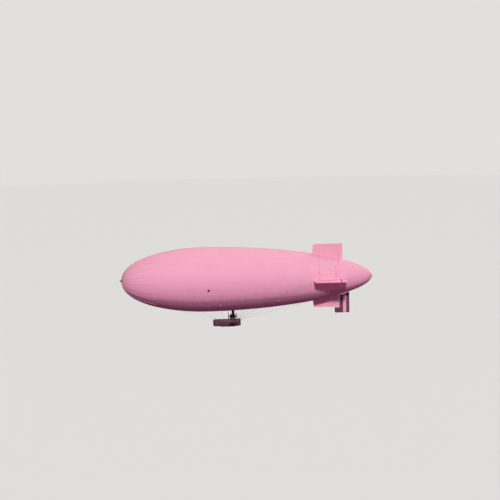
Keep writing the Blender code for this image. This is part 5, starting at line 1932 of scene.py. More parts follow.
def hand_wheel(name, radius):
    """Wooden rim with grips and a metal spider, facing +Z at the origin."""
    with bench(f"{name}_rim") as rim:
        loop((0, 0, 0), radius, 0.0075, sides=36)
        for angle in range(0, 360, 40):
            run = heading(angle + 90)
            stepped(radius * heading(angle) - 0.012 * run, run, bar(0.024, 0.0092, 0.006, 0.006), 8)
    with bench(f"{name}_spider") as spider:
        lathe([
            (-0.022, 0), (-0.022, 0.018), (-0.014, 0.022), (-0.006, 0.016), (0.008, 0.016),
            (0.014, 0.022), (0.022, 0.014), (0.024, 0)
        ], 24, "Z")
        for angle in (0, 90, 180, 270):
            stepped((0, 0, 0), heading(angle), (
                (0.012, 0.007), (0.5 * radius, 0.0042), (radius - 0.004, 0.006)
            ), 10)
    return rim, spider


def place_wheel(node, hub, axle, radius, column):
    rim, spider = hand_wheel(node, radius)
    place = facing(hub, axle)
    rim = moved(place, f"{node}_rim", rim)
    spider.matrix_world = place
    with bench("column") as post:
        for start, end, thick in column:
            rod(start, end, thick, sides=16)
        foot = Vector(column[0][0])
        stepped(foot, UP, ((0, 0.026), (0.006, 0.026), (0.014, 0.014)), 20)
    spider = joined(f"{node}_spider", [spider])
    spider = tidy(joined(f"{node}_spider", [spider, post]))
    dress(rim, varnished_wood, 40)
    dress(spider, cast_metal, 35, [node])


def controls():
    """The steering wheel on its pillar, and the elevator wheel beside its post."""
    floor = CAR_FLOOR
    hub = Vector((-1.55, 0, floor + 0.32))
    foot = Vector((hub.x - 0.0165, 0, floor))
    column = ((foot, foot + Vector((0, 0, 0.31)), 0.011), (foot + Vector((0, 0, 0.29)), hub, 0.009))
    tilt = math.radians(35)
    place_wheel("rudder_wheel", hub, (math.cos(tilt), 0, math.sin(tilt)), 0.085, column)
    hub = Vector((-1.13, 0.175, floor + 0.30))
    foot = Vector((hub.x, 0.145, floor))
    top = foot + Vector((0, 0, 0.318))
    column = ((foot, top, 0.011), (Vector((hub.x, 0.14, hub.z)), hub, 0.010))
    place_wheel("elevator_wheel", hub, (0, 1, 0), 0.08, column)


def instrument_board():
    """A wooden board of four round dials with plain scales."""
    x, top = BOARD_X, CAR_RIM - 0.0125
    middle = top - 0.055
    with bench("board") as board:
        box((x, -0.15, top - 0.11), (x + 0.010, 0.15, top), 0.003)
        for y in (-0.14, 0.14):
            for z in (top - 0.098, top - 0.012):
                rod((x + 0.008, y, z), (x + 0.0125, y, z), 0.004, sides=8)
    dress(tidy(board), varnished_wood, 35, ["instrument_board"])
    faces, bezels = [], []
    for y in DIALS_AT:
        place = facing((x + 0.010, y, middle), AFT, UP)
        with bench("face") as face:
            stepped((0, 0, 0), UP, ((0, 0.026), (0.004, 0.026)), 32)
        with bench("bezel") as bezel:
            lathe([
                (0, 0.025), (0, 0.030), (0.007, 0.030), (0.010, 0.027), (0.007, 0.025)
            ], 32, "Z", close=True)
            for angle in range(0, 360, 30):
                spot = 0.021 * heading(angle) + Vector((0, 0, 0.0045))
                size = Vector((0.003, 0.0006, 0.0004))
                box(spot - size, spot + size, turn=(0, 0, math.radians(angle)))
            box((-0.004, -0.0008, 0.0045), (0.019, 0.0008, 0.0055), turn=(0, 0, 20 * y))
            stepped((0, 0, 0), UP, ((0.003, 0.003), (0.007, 0.002)), 10)
        face.matrix_world = bezel.matrix_world = place
        faces.append(joined("face", [face]))
        bezels.append(joined("bezel", [bezel]))
    dress(tidy(joined("dial_faces", faces)), dial_face, 35)
    dress(tidy(joined("dial_bezels", bezels)), brass, 35)


def tank_strap(y, centre):
    """A band over the tank, bent out flat on the deck at both ends."""
    with bench("strap") as strap:
        curve = arc((TANK_X, centre), TANK_RADIUS + 0.0005, 2, 178, 18)
        feet = [(TANK_X + 0.128, CAR_RIM + 0.006), (TANK_X + 0.113, CAR_RIM + 0.006)]
        tail = [(2 * TANK_X - x, z) for x, z in reversed(feet)]
        outline = [*feet, *[(x, z) for x, z in curve if z > CAR_RIM + 0.012], *tail]
        chain([(x, y - 0.015, z) for x, z in outline])
        push((0, 0.03, 0))
    thickened(strap, 0.002)
    return tidy(strap)


def tank_fittings():
    """The filler with its ribbed cap, and the bolts of the straps."""
    with bench("tank_fittings") as fittings:
        stepped((TANK_X, 0, TANK_TOP - 0.008), UP, (
            (0, 0.030), (0.010, 0.030), (0.012, 0.018), (0.018, 0.018), (0.019, 0.021), (0.027, 0.021),
            (0.028, 0.018)
        ), 24)
        for angle in range(0, 360, 45):
            spot = Vector((TANK_X, 0, TANK_TOP + 0.015))
            rod(spot + 0.018 * heading(angle), spot + 0.024 * heading(angle), 0.003, 6)
        for y in TANK_STRAPS:
            for side in (-1, 1):
                bolt((TANK_X + side * 0.121, y, CAR_RIM + 0.002), (0, 0, 0.012), 0.0045)
    return tidy(fittings)


def fuel_tank():
    centre, half = TANK_TOP - TANK_RADIUS, TANK_WIDTH / 2
    with bench("tank_drum") as tank:
        lathe([
            (-half, 0), (-half + 0.002, 0.045), (-half + 0.012, 0.086), (-half + 0.020, 0.094),
            (-half + 0.018, 0.106), (-half + 0.024, 0.109), (half - 0.024, 0.109), (half - 0.018, 0.106),
            (half - 0.020, 0.094), (half - 0.012, 0.086), (half - 0.002, 0.045), (half, 0)
        ], 48, "Y", (TANK_X, 0, centre))
    dress(tidy(tank), car_paint, 35, ["fuel_tank"])
    straps = [tank_strap(y, centre) for y in TANK_STRAPS]
    fittings = joined("tank_fittings", [*straps, tank_fittings()])
    dress(fittings, cast_metal, 35)


def bumper_bag():
    """A rubbered canvas air bag under the floor, drawn in by its straps."""
    top = -3.9704
    bag = stuffed(
        "bumper_bag", (-1.108, -0.138, top - 0.043), (0.028, 0.138, top - 0.003), 0.0105,
        lambda p: p.z > top - 0.008 or any(abs(p.x - x) < 0.010 for x in BAG_STRAPS), pressure=5.0,
        cap=0.010
    )
    with bench(bag):
        bpy.ops.mesh.select_all(action="SELECT")
        bpy.ops.mesh.bisect(plane_co=(0, 0, top), plane_no=(0, 0, 1), clear_outer=True, use_fill=True)
    dress(tidy(bag), rubbered_canvas, 60, ["bumper"])
    with bench("bag_straps") as straps:
        for x in BAG_STRAPS:
            outline = [
                (-0.150, top + 0.001), (-0.148, top - 0.030), (-0.120, top - 0.049), (-0.06, top - 0.0515)
            ]
            outline += [(-y, z) for y, z in reversed(outline)]
            chain([(x - 0.014, y, z) for y, z in outline])
            push((0.028, 0, 0))
    thickened(straps, 0.003)
    dress(tidy(straps), leather, 60)


class AIRSHIP_OT_car(bpy.types.Operator):
    """Makes the crew car's shell, deck, coamings and outside fittings"""

    bl_idname = "airship.car"
    bl_label = "Crew Car"

    def execute(self, context):
        car_shell()
        car_straps()
        car_fittings()
        car_deck()
        coaming_rolls()
        return {"FINISHED"}


class AIRSHIP_OT_cockpits(bpy.types.Operator):
    """Makes the seats, windscreens, hand wheels and instruments"""

    bl_idname = "airship.cockpits"
    bl_label = "Cockpits"

    def execute(self, context):
        seats()
        windscreens()
        controls()
        instrument_board()
        return {"FINISHED"}


class AIRSHIP_OT_stores(bpy.types.Operator):
    """Makes the fuel tank and the landing bag"""

    bl_idname = "airship.stores"
    bl_label = "Tank and Landing Bag"

    def execute(self, context):
        fuel_tank()
        bumper_bag()
        return {"FINISHED"}


# Engines: made about their shafts, then copied to each side


def crankcase():
    section = [
        (-0.070, -0.020), (-0.070, 0.012), (-0.047, 0.046), (0.047, 0.046), (0.070, 0.012),
        (0.070, -0.020), (0.046, -0.055), (-0.046, -0.055)
    ]
    with bench("engine_case") as case:
        prism([(-0.395, y, z) for y, z in section], (0.46, 0, 0))
        for x in (-0.385, -0.275, -0.165, -0.055, 0.045):
            prism([(x, 1.04 * y, 1.04 * z) for y, z in section], (0.012, 0, 0))
        box((-0.26, -0.044, -0.10), (0.04, 0.044, -0.045), 0.008)
        box((-0.24, -0.034, -0.128), (0.02, 0.034, -0.09), 0.010)
        box((-0.36, -0.099, -0.0496), (0.03, 0.099, -0.034), 0.004)
        for x in (-0.33, -0.165, 0.0):
            for side in (-1, 1):
                bolt((x, side * 0.085, -0.036), (0, 0, 0.014), 0.008)
                outline = [(side * 0.062, -0.036), (side * 0.098, -0.036), (side * 0.062, 0.004)]
                prism([(x - 0.024, y, z) for y, z in outline], (0.006, 0, 0))
        for i in range(12):
            for side in (-1, 1):
                place = Vector((-0.245 + 0.025 * i, side * 0.047, -0.056))
                rod(place, place + Vector((0, 0, 0.010)), 0.004, sides=6)
        lathe([
            (-0.392, 0), (-0.392, 0.058), (-0.400, 0.056), (-0.404, 0.048), (-0.416, 0.044),
            (-0.420, 0.030), (-0.420, 0)
        ], 32)
        bolt((-0.392, 0.050, 0), (-0.014, 0, 0), 0.004)
        around(10)
        stepped((0.12, 0, -0.01), (-1, 0, 0), ((0.0, 0.030), (0.006, 0.034), (0.060, 0.034)), 20)
        for side in (-1, 1):
            stepped((0.12, side * 0.030, 0.048), (-1, 0, 0), (
                (0, 0.010), (0.004, 0.018), (0.020, 0.019), (0.022, 0.014), (0.06, 0.014)
            ), 16)
        box((0.055, -0.046, 0.020), (0.100, 0.046, 0.040), 0.005)
    rounded(case, 0.002, 2, 45)
    return tidy(case)


def cylinder():
    """A jacketed cylinder with its valve gear, standing on the shaft's line."""
    with bench("cylinder") as piece:
        lathe([
            (0.034, 0.028), (0.056, 0.028), (0.058, 0.036), (0.063, 0.036), (0.065, 0.030),
            (0.074, 0.030), (0.078, 0.034), (0.084, 0.036), (0.106, 0.036), (0.108, 0.0352),
            (0.110, 0.036), (0.150, 0.036), (0.160, 0.033), (0.167, 0.024), (0.169, 0)
        ], 24, "Z")
        for y in (-0.013, 0.013):
            steps = [(0.0, 0.0085)]
            for i in range(4):
                steps += [
                    (0.003 + 0.005 * i, 0.0085), (0.0045 + 0.005 * i, 0.0062), (0.007 + 0.005 * i, 0.0062)
                ]
            stepped((0, y, 0.166), UP, [*steps, (0.0235, 0.009), (0.026, 0.009)], 10)
        box((-0.005, -0.018, 0.191), (0.005, 0.018, 0.198), 0.002)
        box((-0.016, -0.004, 0.168), (-0.008, 0.004, 0.200), 0.002)
        rod((-0.024, 0.016, 0.045), (-0.024, 0.016, 0.196), 0.0028, sides=6)
        for x in (-0.030, 0.030):
            way = Vector((x, 0, 0.008)).normalized()
            stepped((x, 0, 0.142), way, (
                (0, 0.005), (0.007, 0.0062), (0.011, 0.0062), (0.012, 0.003), (0.019, 0.0025)
            ), 6)
        stepped((0, -0.026, 0.152), (0, -1, 0.3), (
            (0, 0.011), (0.012, 0.011), (0.013, 0.014), (0.016, 0.014)
        ), 12)
        stepped(
            (0, 0.026, 0.150), STARBOARD, ((0, 0.011), (0.010, 0.011), (0.011, 0.015), (0.014, 0.015)), 12
        )
    return piece


def bank_places():
    tilt = Matrix.Rotation(math.radians(-45), 4, "X")
    return [Matrix.Translation((x, 0, 0)) @ tilt for x in CYLINDER_STATIONS]


def exhaust_pipes():
    """Stubs that sweep back into a collector along the bank."""
    y, z = 0.1414, 0.0707
    pieces = []
    for x in CYLINDER_STATIONS:
        start = Vector((x, 0.1344, 0.0778))
        out = Vector((0, 0.7071, -0.7071))
        foot = start - 0.014 * out
        pieces.append(
            pipe("stub", [foot, start, (x + 0.012, y + 0.003, z - 0.002), (x + 0.035, y, z)], 0.0105, 10)
        )
    points = [(-0.352, y, z), (-0.30, y, z), (-0.1, y, z), (0.08, y, z), (0.13, y, z), (0.168, y, z)]
    pieces.append(pipe("collector", points, 0.0145, 14, shares=[0.7, 1, 1, 1, 1, 1.05]))
    with bench("collar") as collar:
        for x in (*CYLINDER_STATIONS, 0.06):
            stepped((x + 0.030, y, z), AFT, bar(0.012, 0.0165, 0.002, 0.0145), 14)
    return joined("exhaust_bank", [*pieces, collar])


def intake_pipes():
    pieces = [pipe(
        "gallery", [(-0.34, 0, 0.148), (-0.25, 0, 0.15), (-0.08, 0, 0.15), (0.01, 0, 0.148)], 0.0155, 14
    )]
    for x in CYLINDER_STATIONS:
        for side in (-1, 1):
            points = [
                (x, 0, 0.150), (x, side * 0.030, 0.155), (x, side * 0.060, 0.150),
                (x, side * 0.082, 0.130)
            ]
            pieces.append(pipe("branch", points, 0.010, 10))
    with bench("carburettor") as body:
        stepped((-0.16, 0, 0.048), UP, (
            (0, 0.016), (0.014, 0.016), (0.015, 0.020), (0.040, 0.020), (0.041, 0.015), (0.07, 0.014),
            (0.085, 0.019), (0.10, 0.019)
        ), 16)
        stepped(
            (-0.16, -0.030, 0.060), UP, ((0, 0.009), (0.002, 0.012), (0.030, 0.012), (0.034, 0.006)), 14
        )
        rod((-0.185, 0, 0.108), (-0.135, 0, 0.108), 0.003, sides=6)
        box((-0.190, -0.012, 0.104), (-0.184, 0.006, 0.112), 0.001)
    return joined("intake", [*pieces, body])


def engine_pipes():
    """Water pipes, plug leads and the oil pipe."""
    pieces = []
    tilt = math.radians(45)
    for side in (-1, 1):
        y, z = side * 0.062, 0.176
        points = [
            (-0.33, y, z - 0.004), (-0.20, y, z), (0.0, y, z), (0.10, y, z + 0.01), (0.17, y, 0.185),
            (0.195, y, 0.19)
        ]
        pieces.append(pipe("water", points, 0.0075, 10))
        for i, x in enumerate(CYLINDER_STATIONS):
            out = Vector((0, side * math.sin(tilt), math.cos(tilt)))
            plug = Vector((x + 0.048, 0, 0)) + 0.147 * out
            lift = Vector((0, side * 0.002 * i, 0.003 * i))
            points = [
                (0.09, side * 0.030, 0.066), Vector((0.075, side * 0.036, 0.090)) + lift,
                Vector((min(x + 0.09, 0.07), side * 0.046, 0.098)) + lift,
                Vector((x + 0.058, 0, 0)) + 0.125 * out, plug
            ]
            pieces.append(pipe("lead", points, 0.0022, 6))
    points = [(0.05, 0.04, -0.11), (0.10, 0.045, -0.11), (0.13, 0.03, -0.06), (0.10, 0.02, -0.02)]
    pieces.append(pipe("oil", points, 0.006, 8))
    return joined("engine_pipes", pieces)


def build_engines():
    cylinders = copied("cylinder_bank", cylinder(), bank_places())
    bank = tidy(exhaust_pipes())
    with bench("propeller_shaft") as shaft:
        stepped(
            (-0.415, 0, 0), (-1, 0, 0), ((0, 0.020), (0.018, 0.020), (0.019, 0.0138), (0.120, 0.0138)), 32
        )
    parts = (
        ("engine_case", crankcase(), aluminium),
        ("engine_cylinders", with_mirror("cylinders", cylinders), cast_metal),
        ("engine_exhausts", with_mirror("exhausts", bank), hot_steel),
        ("engine_intake", tidy(intake_pipes()), aluminium),
        ("engine_pipes", tidy(engine_pipes()), dark_paint), ("propeller_shaft", tidy(shaft), steel)
    )
    for name, piece, finish in parts:
        for side, sign in SIDES.items():
            place = Matrix.Translation((0, sign * ENGINE_Y, SHAFT_Z))
            nodes = [f"engine_{side}"] if name == "engine_case" else []
            dress(copy_at(place, f"{name}_{side}", piece), finish, 35, nodes)
        bpy.data.objects.remove(piece, do_unlink=True)


def radiator_core(side, y, low, high):
    """A block of tubes behind thin fins."""
    fore, aft, half = RADIATOR_FORE, RADIATOR_AFT, RADIATOR_WIDTH / 2
    with bench(f"radiator_core_{side}") as core:
        box((fore + 0.006, y - half + 0.008, low + 0.02), (aft - 0.006, y + half - 0.008, high - 0.01))
        corner = (aft - 0.001, y - half + 0.0155, high - 0.012)
        box((fore + 0.001, y - half + 0.012, low + 0.022), corner)
        row(24, (0, (2 * half - 0.0275) / 23, 0))
    dress(tidy(core), copper_core, 30, [f"radiator_{side}"])


def radiator_frame(side, y, low, high):
    """Side plates, a round header with its cap, bands, and feet on the bearers."""
    fore, aft, half = RADIATOR_FORE, RADIATOR_AFT, RADIATOR_WIDTH / 2
    header = (
        (0, 0.014), (0.006, 0.024), (0.012, 0.0275), (0.212, 0.0275), (0.218, 0.024), (0.224, 0.014)
    )
    cap = ((0, 0.014), (0.012, 0.014), (0.013, 0.018), (0.020, 0.018), (0.022, 0.014))
    with bench(f"radiator_frame_{side}") as piece:
        for edge in (y - half, y + half - 0.010):
            box((fore - 0.002, edge, low), (aft + 0.002, edge + 0.010, high), 0.002)
        box((fore - 0.002, y - half, low), (aft + 0.002, y + half, low + 0.022), 0.004)
        stepped(((fore + aft) / 2, y - half - 0.004, high), STARBOARD, header, 24)
        stepped(((fore + aft) / 2, y, high + 0.020), UP, cap, 18)
        for height in (low + 0.09, low + 0.17):
            box((fore - 0.003, y - half, height), (aft + 0.003, y + half, height + 0.006), 0.001)
        for offset in BEARER_OFFSETS:
            corner = (aft + 0.012, y + offset + 0.012, low + 0.005)
            box((fore - 0.012, y + offset - 0.012, low - 0.001), corner, 0.001)
            bolt((fore - 0.007, y + offset, low), (0, 0, 0.011), 0.005)
    return piece


def radiator_hoses(y, low, high):
    """Two hoses from the water jackets to the header, and one from the foot to the pump."""
    paths = [[
        (0.150, y + offset, SHAFT_Z + 0.187), (0.170, y + offset, high - 0.014),
        (0.196, y + offset, high - 0.010)
    ] for offset in (-0.062, 0.062)]
    paths.append([
        (0.19, y, low + 0.012), (0.15, y, low + 0.008), (0.13, y, low + 0.012),
        (0.118, y, SHAFT_Z - 0.012)
    ])
    return [pipe("hose", path, 0.011, 12) for path in paths]


def build_radiators():
    """Tube cores in frames, a header above and a foot below."""
    low, high = RAIL_TOP + 0.001, RAIL_TOP + RADIATOR_HEIGHT
    for side, sign in SIDES.items():
        place = (sign * ENGINE_Y, low, high)
        radiator_core(side, *place)
        pieces = [radiator_frame(side, *place), *radiator_hoses(*place)]
        piece = joined(f"radiator_frame_{side}", pieces)
        dress(tidy(piece), cast_metal, 35)


# Propellers


def blade_row(radius):
    rows = BLADE_STATIONS
    for first, second in zip(rows, rows[1:]):
        if radius <= second[0]:
            break
    share = (radius - first[0]) / (second[0] - first[0])
    return [a + (b - a) * share for a, b in zip(first[1:], second[1:])]


def blade_ring(radius, way, hand, grow=0.0, section=BLADE_SECTION):
    chord, depth, pitch = blade_row(radius)
    turn = math.radians(pitch)
    broad = (chord / 2 + grow) * Vector((math.sin(turn), hand * math.cos(turn), 0))
    thick = (depth / 2 + grow) * Vector((math.cos(turn), -hand * math.sin(turn), 0))
    middle = Vector((0, 0, way * radius))
    return [middle + a * broad + b * thick for a, b in section]


def build_blade(way, hand):
    radii = [
        0.02, 0.045, 0.07, 0.10, 0.135, 0.17, 0.205, 0.24, 0.28, 0.33, 0.38, 0.42, 0.46, 0.50, 0.53,
        0.555, 0.572, 0.58
    ]
    for radius in radii:
        chain(blade_ring(radius, way, hand), close=True)


def propeller_blades(side, sign):
    """Two blades and the boss between them."""
    pieces = []
    for way in (-1, 1):
        with bench("blade") as blade:
            build_blade(way, way * sign)
            pick(blade, "edges", lambda e: True)
            bpy.ops.mesh.bridge_edge_loops()
            for end in (BLADE_STATIONS[0][0], BLADE_STATIONS[-1][0]):
                pick(blade, "verts", lambda v: abs(abs(v.co.z) - end) < 0.0005)
                bpy.ops.mesh.edge_face_add()
        pieces.append(tidy(blade))
    with bench("boss") as boss:
        lathe([
            (-0.022, BORE), (-0.026, 0.034), (-0.020, 0.046), (0.016, 0.046), (0.022, 0.034),
            (0.022, BORE)
        ], 32, close=True)
    pieces.append(tidy(boss))
    return joined(f"propeller_blades_{side}", pieces)


def propeller_plates(side):
    """The plates that clamp the boss, with their bolts."""
    with bench(f"propeller_plates_{side}") as plates:
        for fore, aft in ((-0.032, -0.024), (0.020, 0.028)):
            lathe([(fore, BORE), (fore, 0.048), (aft, 0.050), (aft, BORE)], 32, close=True)
        bolt((-0.0315, 0.036, 0), (0.059, 0, 0), 0.0045)
        around(8)
    return plates


def propeller_tips(side, sign):
    """Metal sheaths over the ends of the blades."""
    tips = []
    for way in (-1, 1):
        with bench("tip") as tip:
            for radius in (0.44, 0.47, 0.50, 0.53, 0.555, 0.575):
                chain(blade_ring(radius, way, way * sign, 0.0010, BLADE_SECTION[:4]))
            pick(tip, "edges", lambda e: True)
            bpy.ops.mesh.bridge_edge_loops()
            pick(tip, "verts", lambda v: True)
            bpy.ops.mesh.duplicate()
        tips.append(tip)
    sheath = joined(f"propeller_tips_{side}", tips)
    thickened(sheath, 0.0012)
    return sheath


def build_propellers():
    for side, sign in SIDES.items():
        wood = propeller_blades(side, sign)
        plates = propeller_plates(side)
        sheath = propeller_tips(side, sign)
        for piece, finish, slot in (
            (wood, laminated_wood, "wood"), (plates, steel, "dark_metal"), (sheath, brass, "dark_metal")
        ):
            piece.location = (PROPELLER_X, sign * ENGINE_Y, SHAFT_Z)
            piece = tidy(joined(piece.name, [piece]))
            nodes = [f"propeller_{side}"] if slot == "wood" else []
            dress(piece, finish, 40, nodes, body=f"propeller_{side}")


# Outriggers, rigging and what is laid on the envelope


def line(start, end, radius=0.0045):
    """A taut line with its turnbuckle near the lower end."""
    start, end = Vector(start), Vector(end)
    rod(start, end, radius, sides=6)
    way = (end - start).normalized()
    thin, sleeve, barrel = 1.1 * radius, 1.9 * radius, 2.4 * radius
    steps = (
        (0, thin), (0.010, sleeve), (0.022, sleeve), (0.026, barrel), (0.075, barrel), (0.079, sleeve)
    )
    stepped(start + 0.07 * way, way, (*steps, (0.092, sleeve), (0.10, thin)), 8)


def anchor(distance, angle, sign, lift=0.006):
    return on_hull(distance, angle if sign > 0 else 180 - angle, lift)


def dress_pair(stem, piece, finish, node=None):
    """Dresses a piece that was made to starboard, and its mirror image."""
    other = mirrored(tidy(piece), f"{stem}_port")
    piece = joined(f"{stem}_starboard", [piece])
    for side, made in (("starboard", piece), ("port", other)):
        dress(made, finish, 35, [f"{node}_{side}"] if node else [])


def outrigger_beam(x, outer, height):
    """A beam with its sockets, the strut under it, and the straps over the bearers."""
    y = ENGINE_Y
    stepped((x, 0.19, height), STARBOARD, bar(outer - 0.19, 0.015, 0.004, 0.012), 14)
    for place in (0.27, 0.62, y - 0.10, y + 0.07):
        stepped((x, place, height), STARBOARD, bar(0.030, 0.0185, 0.002, 0.015), 14)
    foot, head = Vector((x, 0.2784, -3.78)), Vector((x, outer - 0.03, height))
    way, run = (head - foot).normalized(), (head - foot).length
    steps = ((0, 0.008), (0.05, 0.0095), (0.12, 0.012))
    steps += tuple((run - distance, radius) for distance, radius in reversed(steps))
    stepped(foot, way, steps, 12)
    box((x - 0.03, 0.2704, -3.82), (x + 0.03, 0.282, -3.74), 0.002)
    for dx in (-0.02, 0.02):
        for dz in (-0.028, 0.028):
            stud = ((0, 0.006), (0.006, 0.006), (0.007, 0.004))
            stepped((x + dx, 0.280, -3.78 + dz), STARBOARD, stud, 6)
    for middle in (y + offset for offset in BEARER_OFFSETS):
        for dx in (-0.024, 0.024):
            bolt((x + dx, middle, RAIL_TOP - 0.042), (0, 0, 0.049), 0.004)
        corner = (x + 0.032, middle + 0.017, RAIL_TOP + 0.003)
        box((x - 0.032, middle - 0.017, RAIL_TOP), corner, 0.001)


def build_outrigger():
    """Made to starboard and mirrored."""
    y, beam_z = ENGINE_Y, CAR_RIM + 0.0154
    outer = y + 0.115
    with bench("bearers") as bearers:
        for offset in BEARER_OFFSETS:
            corner = (0.25, y + offset + 0.015, RAIL_TOP)
            box((-0.41, y + offset - 0.015, RAIL_TOP - 0.030), corner, 0.003)
    with bench("tubes") as tubes:
        for x in BEAM_STATIONS:
            outrigger_beam(x, outer, beam_z)
        start, end = Vector((-0.30, 0.34, beam_z)), Vector((0.12, y, beam_z))
        way, run = (end - start).normalized(), (end - start).length
        stepped(start, way, bar(run, 0.010, 0.03, 0.007), 10)
        foot, _ = anchor(*ENGINE_STAY, 1)
        for x in BEAM_STATIONS:
            line((x, outer - 0.008, beam_z), foot)
        line((-0.30, 0.30, -3.80), (0.12, outer - 0.03, beam_z), 0.0025)
        line((0.12, 0.30, -3.80), (-0.30, outer - 0.03, beam_z), 0.0025)
    dress_pair("bearers", bearers, varnished_wood)
    dress_pair("outrigger_tubes", tubes, dark_paint, node="outrigger")


def build_suspension():
    with bench("stays") as stays:
        y, z = STAY_RAIL
        stepped((-1.48, y, z), AFT, bar(1.780, 0.012, 0.006, 0.008), 14)
        for x, distance, angle in STAYS:
            foot, _ = anchor(distance, angle, 1)
            line((x, y, z), foot)
            stepped((x - 0.014, y, z), AFT, bar(0.028, 0.0155, 0.002, 0.0125), 14)
        for x in (-1.30, -0.90, -0.40, 0.0):
            box((x - 0.02, 0.268, z - 0.022), (x + 0.02, 0.284, z - 0.006), 0.002)
    dress_pair("suspension_lines", stays, steel, node="suspension")


def fin_braces(tip, end):
    """A fin's brace wires: station, height on the fin, side, and angle on the envelope."""
    for station in (FIN_START + 0.55, end - 0.35):
        for drop, spread in FIN_BRACES:
            for side in (-1, 1):
                yield station, tip - drop, side, 90 - side * spread


def fin_wires():
    """Brace wires from the fins down to the envelope."""
    made = []
    for name, tip, end, turn, _ in FINS:
        thick = fin_thickness(tip)
        with bench(f"{name}_wires") as wires:
            for station, height, side, angle in fin_braces(tip, end):
                head = Vector((station - ORIGIN_AT, side * (thick(height) / 2 + 0.004), height))
                foot, _ = on_hull(station, angle, 0.006)
                line(foot, head, 0.0025)
                washer = ((0, 0.014), (0.006, 0.014), (0.010, 0.006))
                stepped(head - Vector((0, side * 0.008, 0)), (0, side, 0), washer, 10)
        made.append(turned(wires, turn))
    dress(tidy(joined("fin_wires", made)), steel, 35)


def quadrant(body, turn, height):
    """The half wheel on a moving surface, which its cables pull."""
    x = HINGE_AT - ORIGIN_AT
    with bench(f"{body}_quadrant") as piece:
        rim = [(x + a, b) for a, b in arc((0, 0), QUADRANT_RADIUS, -84, 84, 18)]
        outline = [(x, -QUADRANT_RADIUS), *rim, (x, QUADRANT_RADIUS)]
        prism([(px, py, height - 0.006) for px, py in outline], (0, 0, 0.012), 0.002)
        hub = Vector((x, 0, height))
        for angle in (-50, 0, 50):
            rod(hub + 0.02 * heading(angle), hub + 0.104 * heading(angle), 0.009, sides=8)
        stepped((x, 0, height - 0.020), UP, bar(0.040, 0.038, 0.003, 0.034), 20)
    dress(tidy(turned(piece, turn)), pale_paint, 35, body=body)


def cable_pair(body, turn, height):
    """Two cables from the skin to where their ends start, and the eyes that lead them."""
    aft = HINGE_AT - ORIGIN_AT - CABLE_END
    fore = first_outside(height - 0.012) - ORIGIN_AT
    with bench(f"{body}_cables") as lines:
        for side in (-1, 1):
            y = side * CABLE_Y
            rod((aft, y, height), (fore, y, height), CABLE_RADIUS, sides=6)
            loop((fore + 0.02, y, height), 0.012, 0.003, AFT)
    return turned(lines, turn)


def cable_ends(body, turn, height):
    """The last length of the two cables, up to the hinge."""
    x = HINGE_AT - ORIGIN_AT
    steps = [(CABLE_END * i / 10, CABLE_RADIUS) for i in range(11)]
    steps += [(CABLE_END + 0.001, 0.005), (CABLE_END + 0.012, 0.005)]
    with bench(f"{body}_cable_ends") as ends:
        for side in (-1, 1):
            stepped((x - CABLE_END, side * CABLE_Y, height), AFT, steps, 6)
    ends = dress(tidy(turned(ends, turn)), steel, 35, body=None)
    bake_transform(ends)


def elevator_line(sign, shift):
    """A cable from an elevator down the skin to the car, with its fairleads."""
    route = [anchor(d, a + shift, sign, 0.055)[0] for d, a in ELEVATOR_ROUTE]
    start = first_outside(ELEVATOR_CABLE - 0.012) - ORIGIN_AT
    first = Vector((start, sign * ELEVATOR_CABLE, math.copysign(CABLE_Y, shift)))
    points = [first, *route, Vector((0.30, sign * 0.225, CAR_RIM + 0.02))]
    with bench("route") as piece:
        for here, there in zip(points, points[1:]):
            rod(here, there, CABLE_RADIUS, sides=6)
        for here, there in zip(route, points[2:]):
            loop(here, 0.010, 0.003, there - here)
            out = Vector((0, here.y, here.z)).normalized()
            steps = ((0, 0.0035), (0.036, 0.0035), (0.038, 0.015), (0.055, 0.017))
            stepped(here - 0.010 * out, -out, steps, 8)
    return piece


def control_cables():
    """Quadrants on the moving surfaces, and the cables that lead from them to the car."""
    runs = [("rudder", 180, RUDDER_CABLE)]
    runs += [(f"elevator_{side}", -90 * sign, ELEVATOR_CABLE) for side, sign in SIDES.items()]
    cables = []
    for run in runs:
        quadrant(*run)
        cables.append(cable_pair(*run))
        cable_ends(*run)
    start = first_outside(RUDDER_CABLE - 0.012) - ORIGIN_AT
    with bench("rudder_lines") as lines:
        for side in (-1, 1):
            fore, aft = (0.47, side * 0.13, CAR_RIM + 0.02), (start, side * CABLE_Y, -RUDDER_CABLE)
            line(fore, aft, CABLE_RADIUS)
    cables.append(lines)
    cables += [elevator_line(sign, shift) for sign in SIDES.values() for shift in (-3.2, 3.2)]
    dress(tidy(joined("control_cables", cables)), steel, 35)


def fan_patch():
    """A cloth hand of fingers that spreads a line's pull over the skin."""
    outline = [(0.040, 0.013, 0), (0.040, -0.013, 0)]
    for k in range(5):
        angle = 228 - 24 * k
        way, side = heading(angle), heading(angle + 90)
        outline += [0.15 * way + 0.017 * side, 0.17 * way, 0.15 * way - 0.017 * side]
        if k < 4:
            outline.append(0.075 * heading(angle - 12))
    with bench("fan") as fan:
        chain(outline, close=True)
        bpy.ops.mesh.edge_face_add()
    return fan


def patch_ring():
    with bench("ring") as ring:
        loop((0.034, 0, 0.012), 0.016, 0.0035, (1, 0, 0.6))
        box((0.010, -0.011, 0.001), (0.036, 0.011, 0.006), 0.002)
    return ring


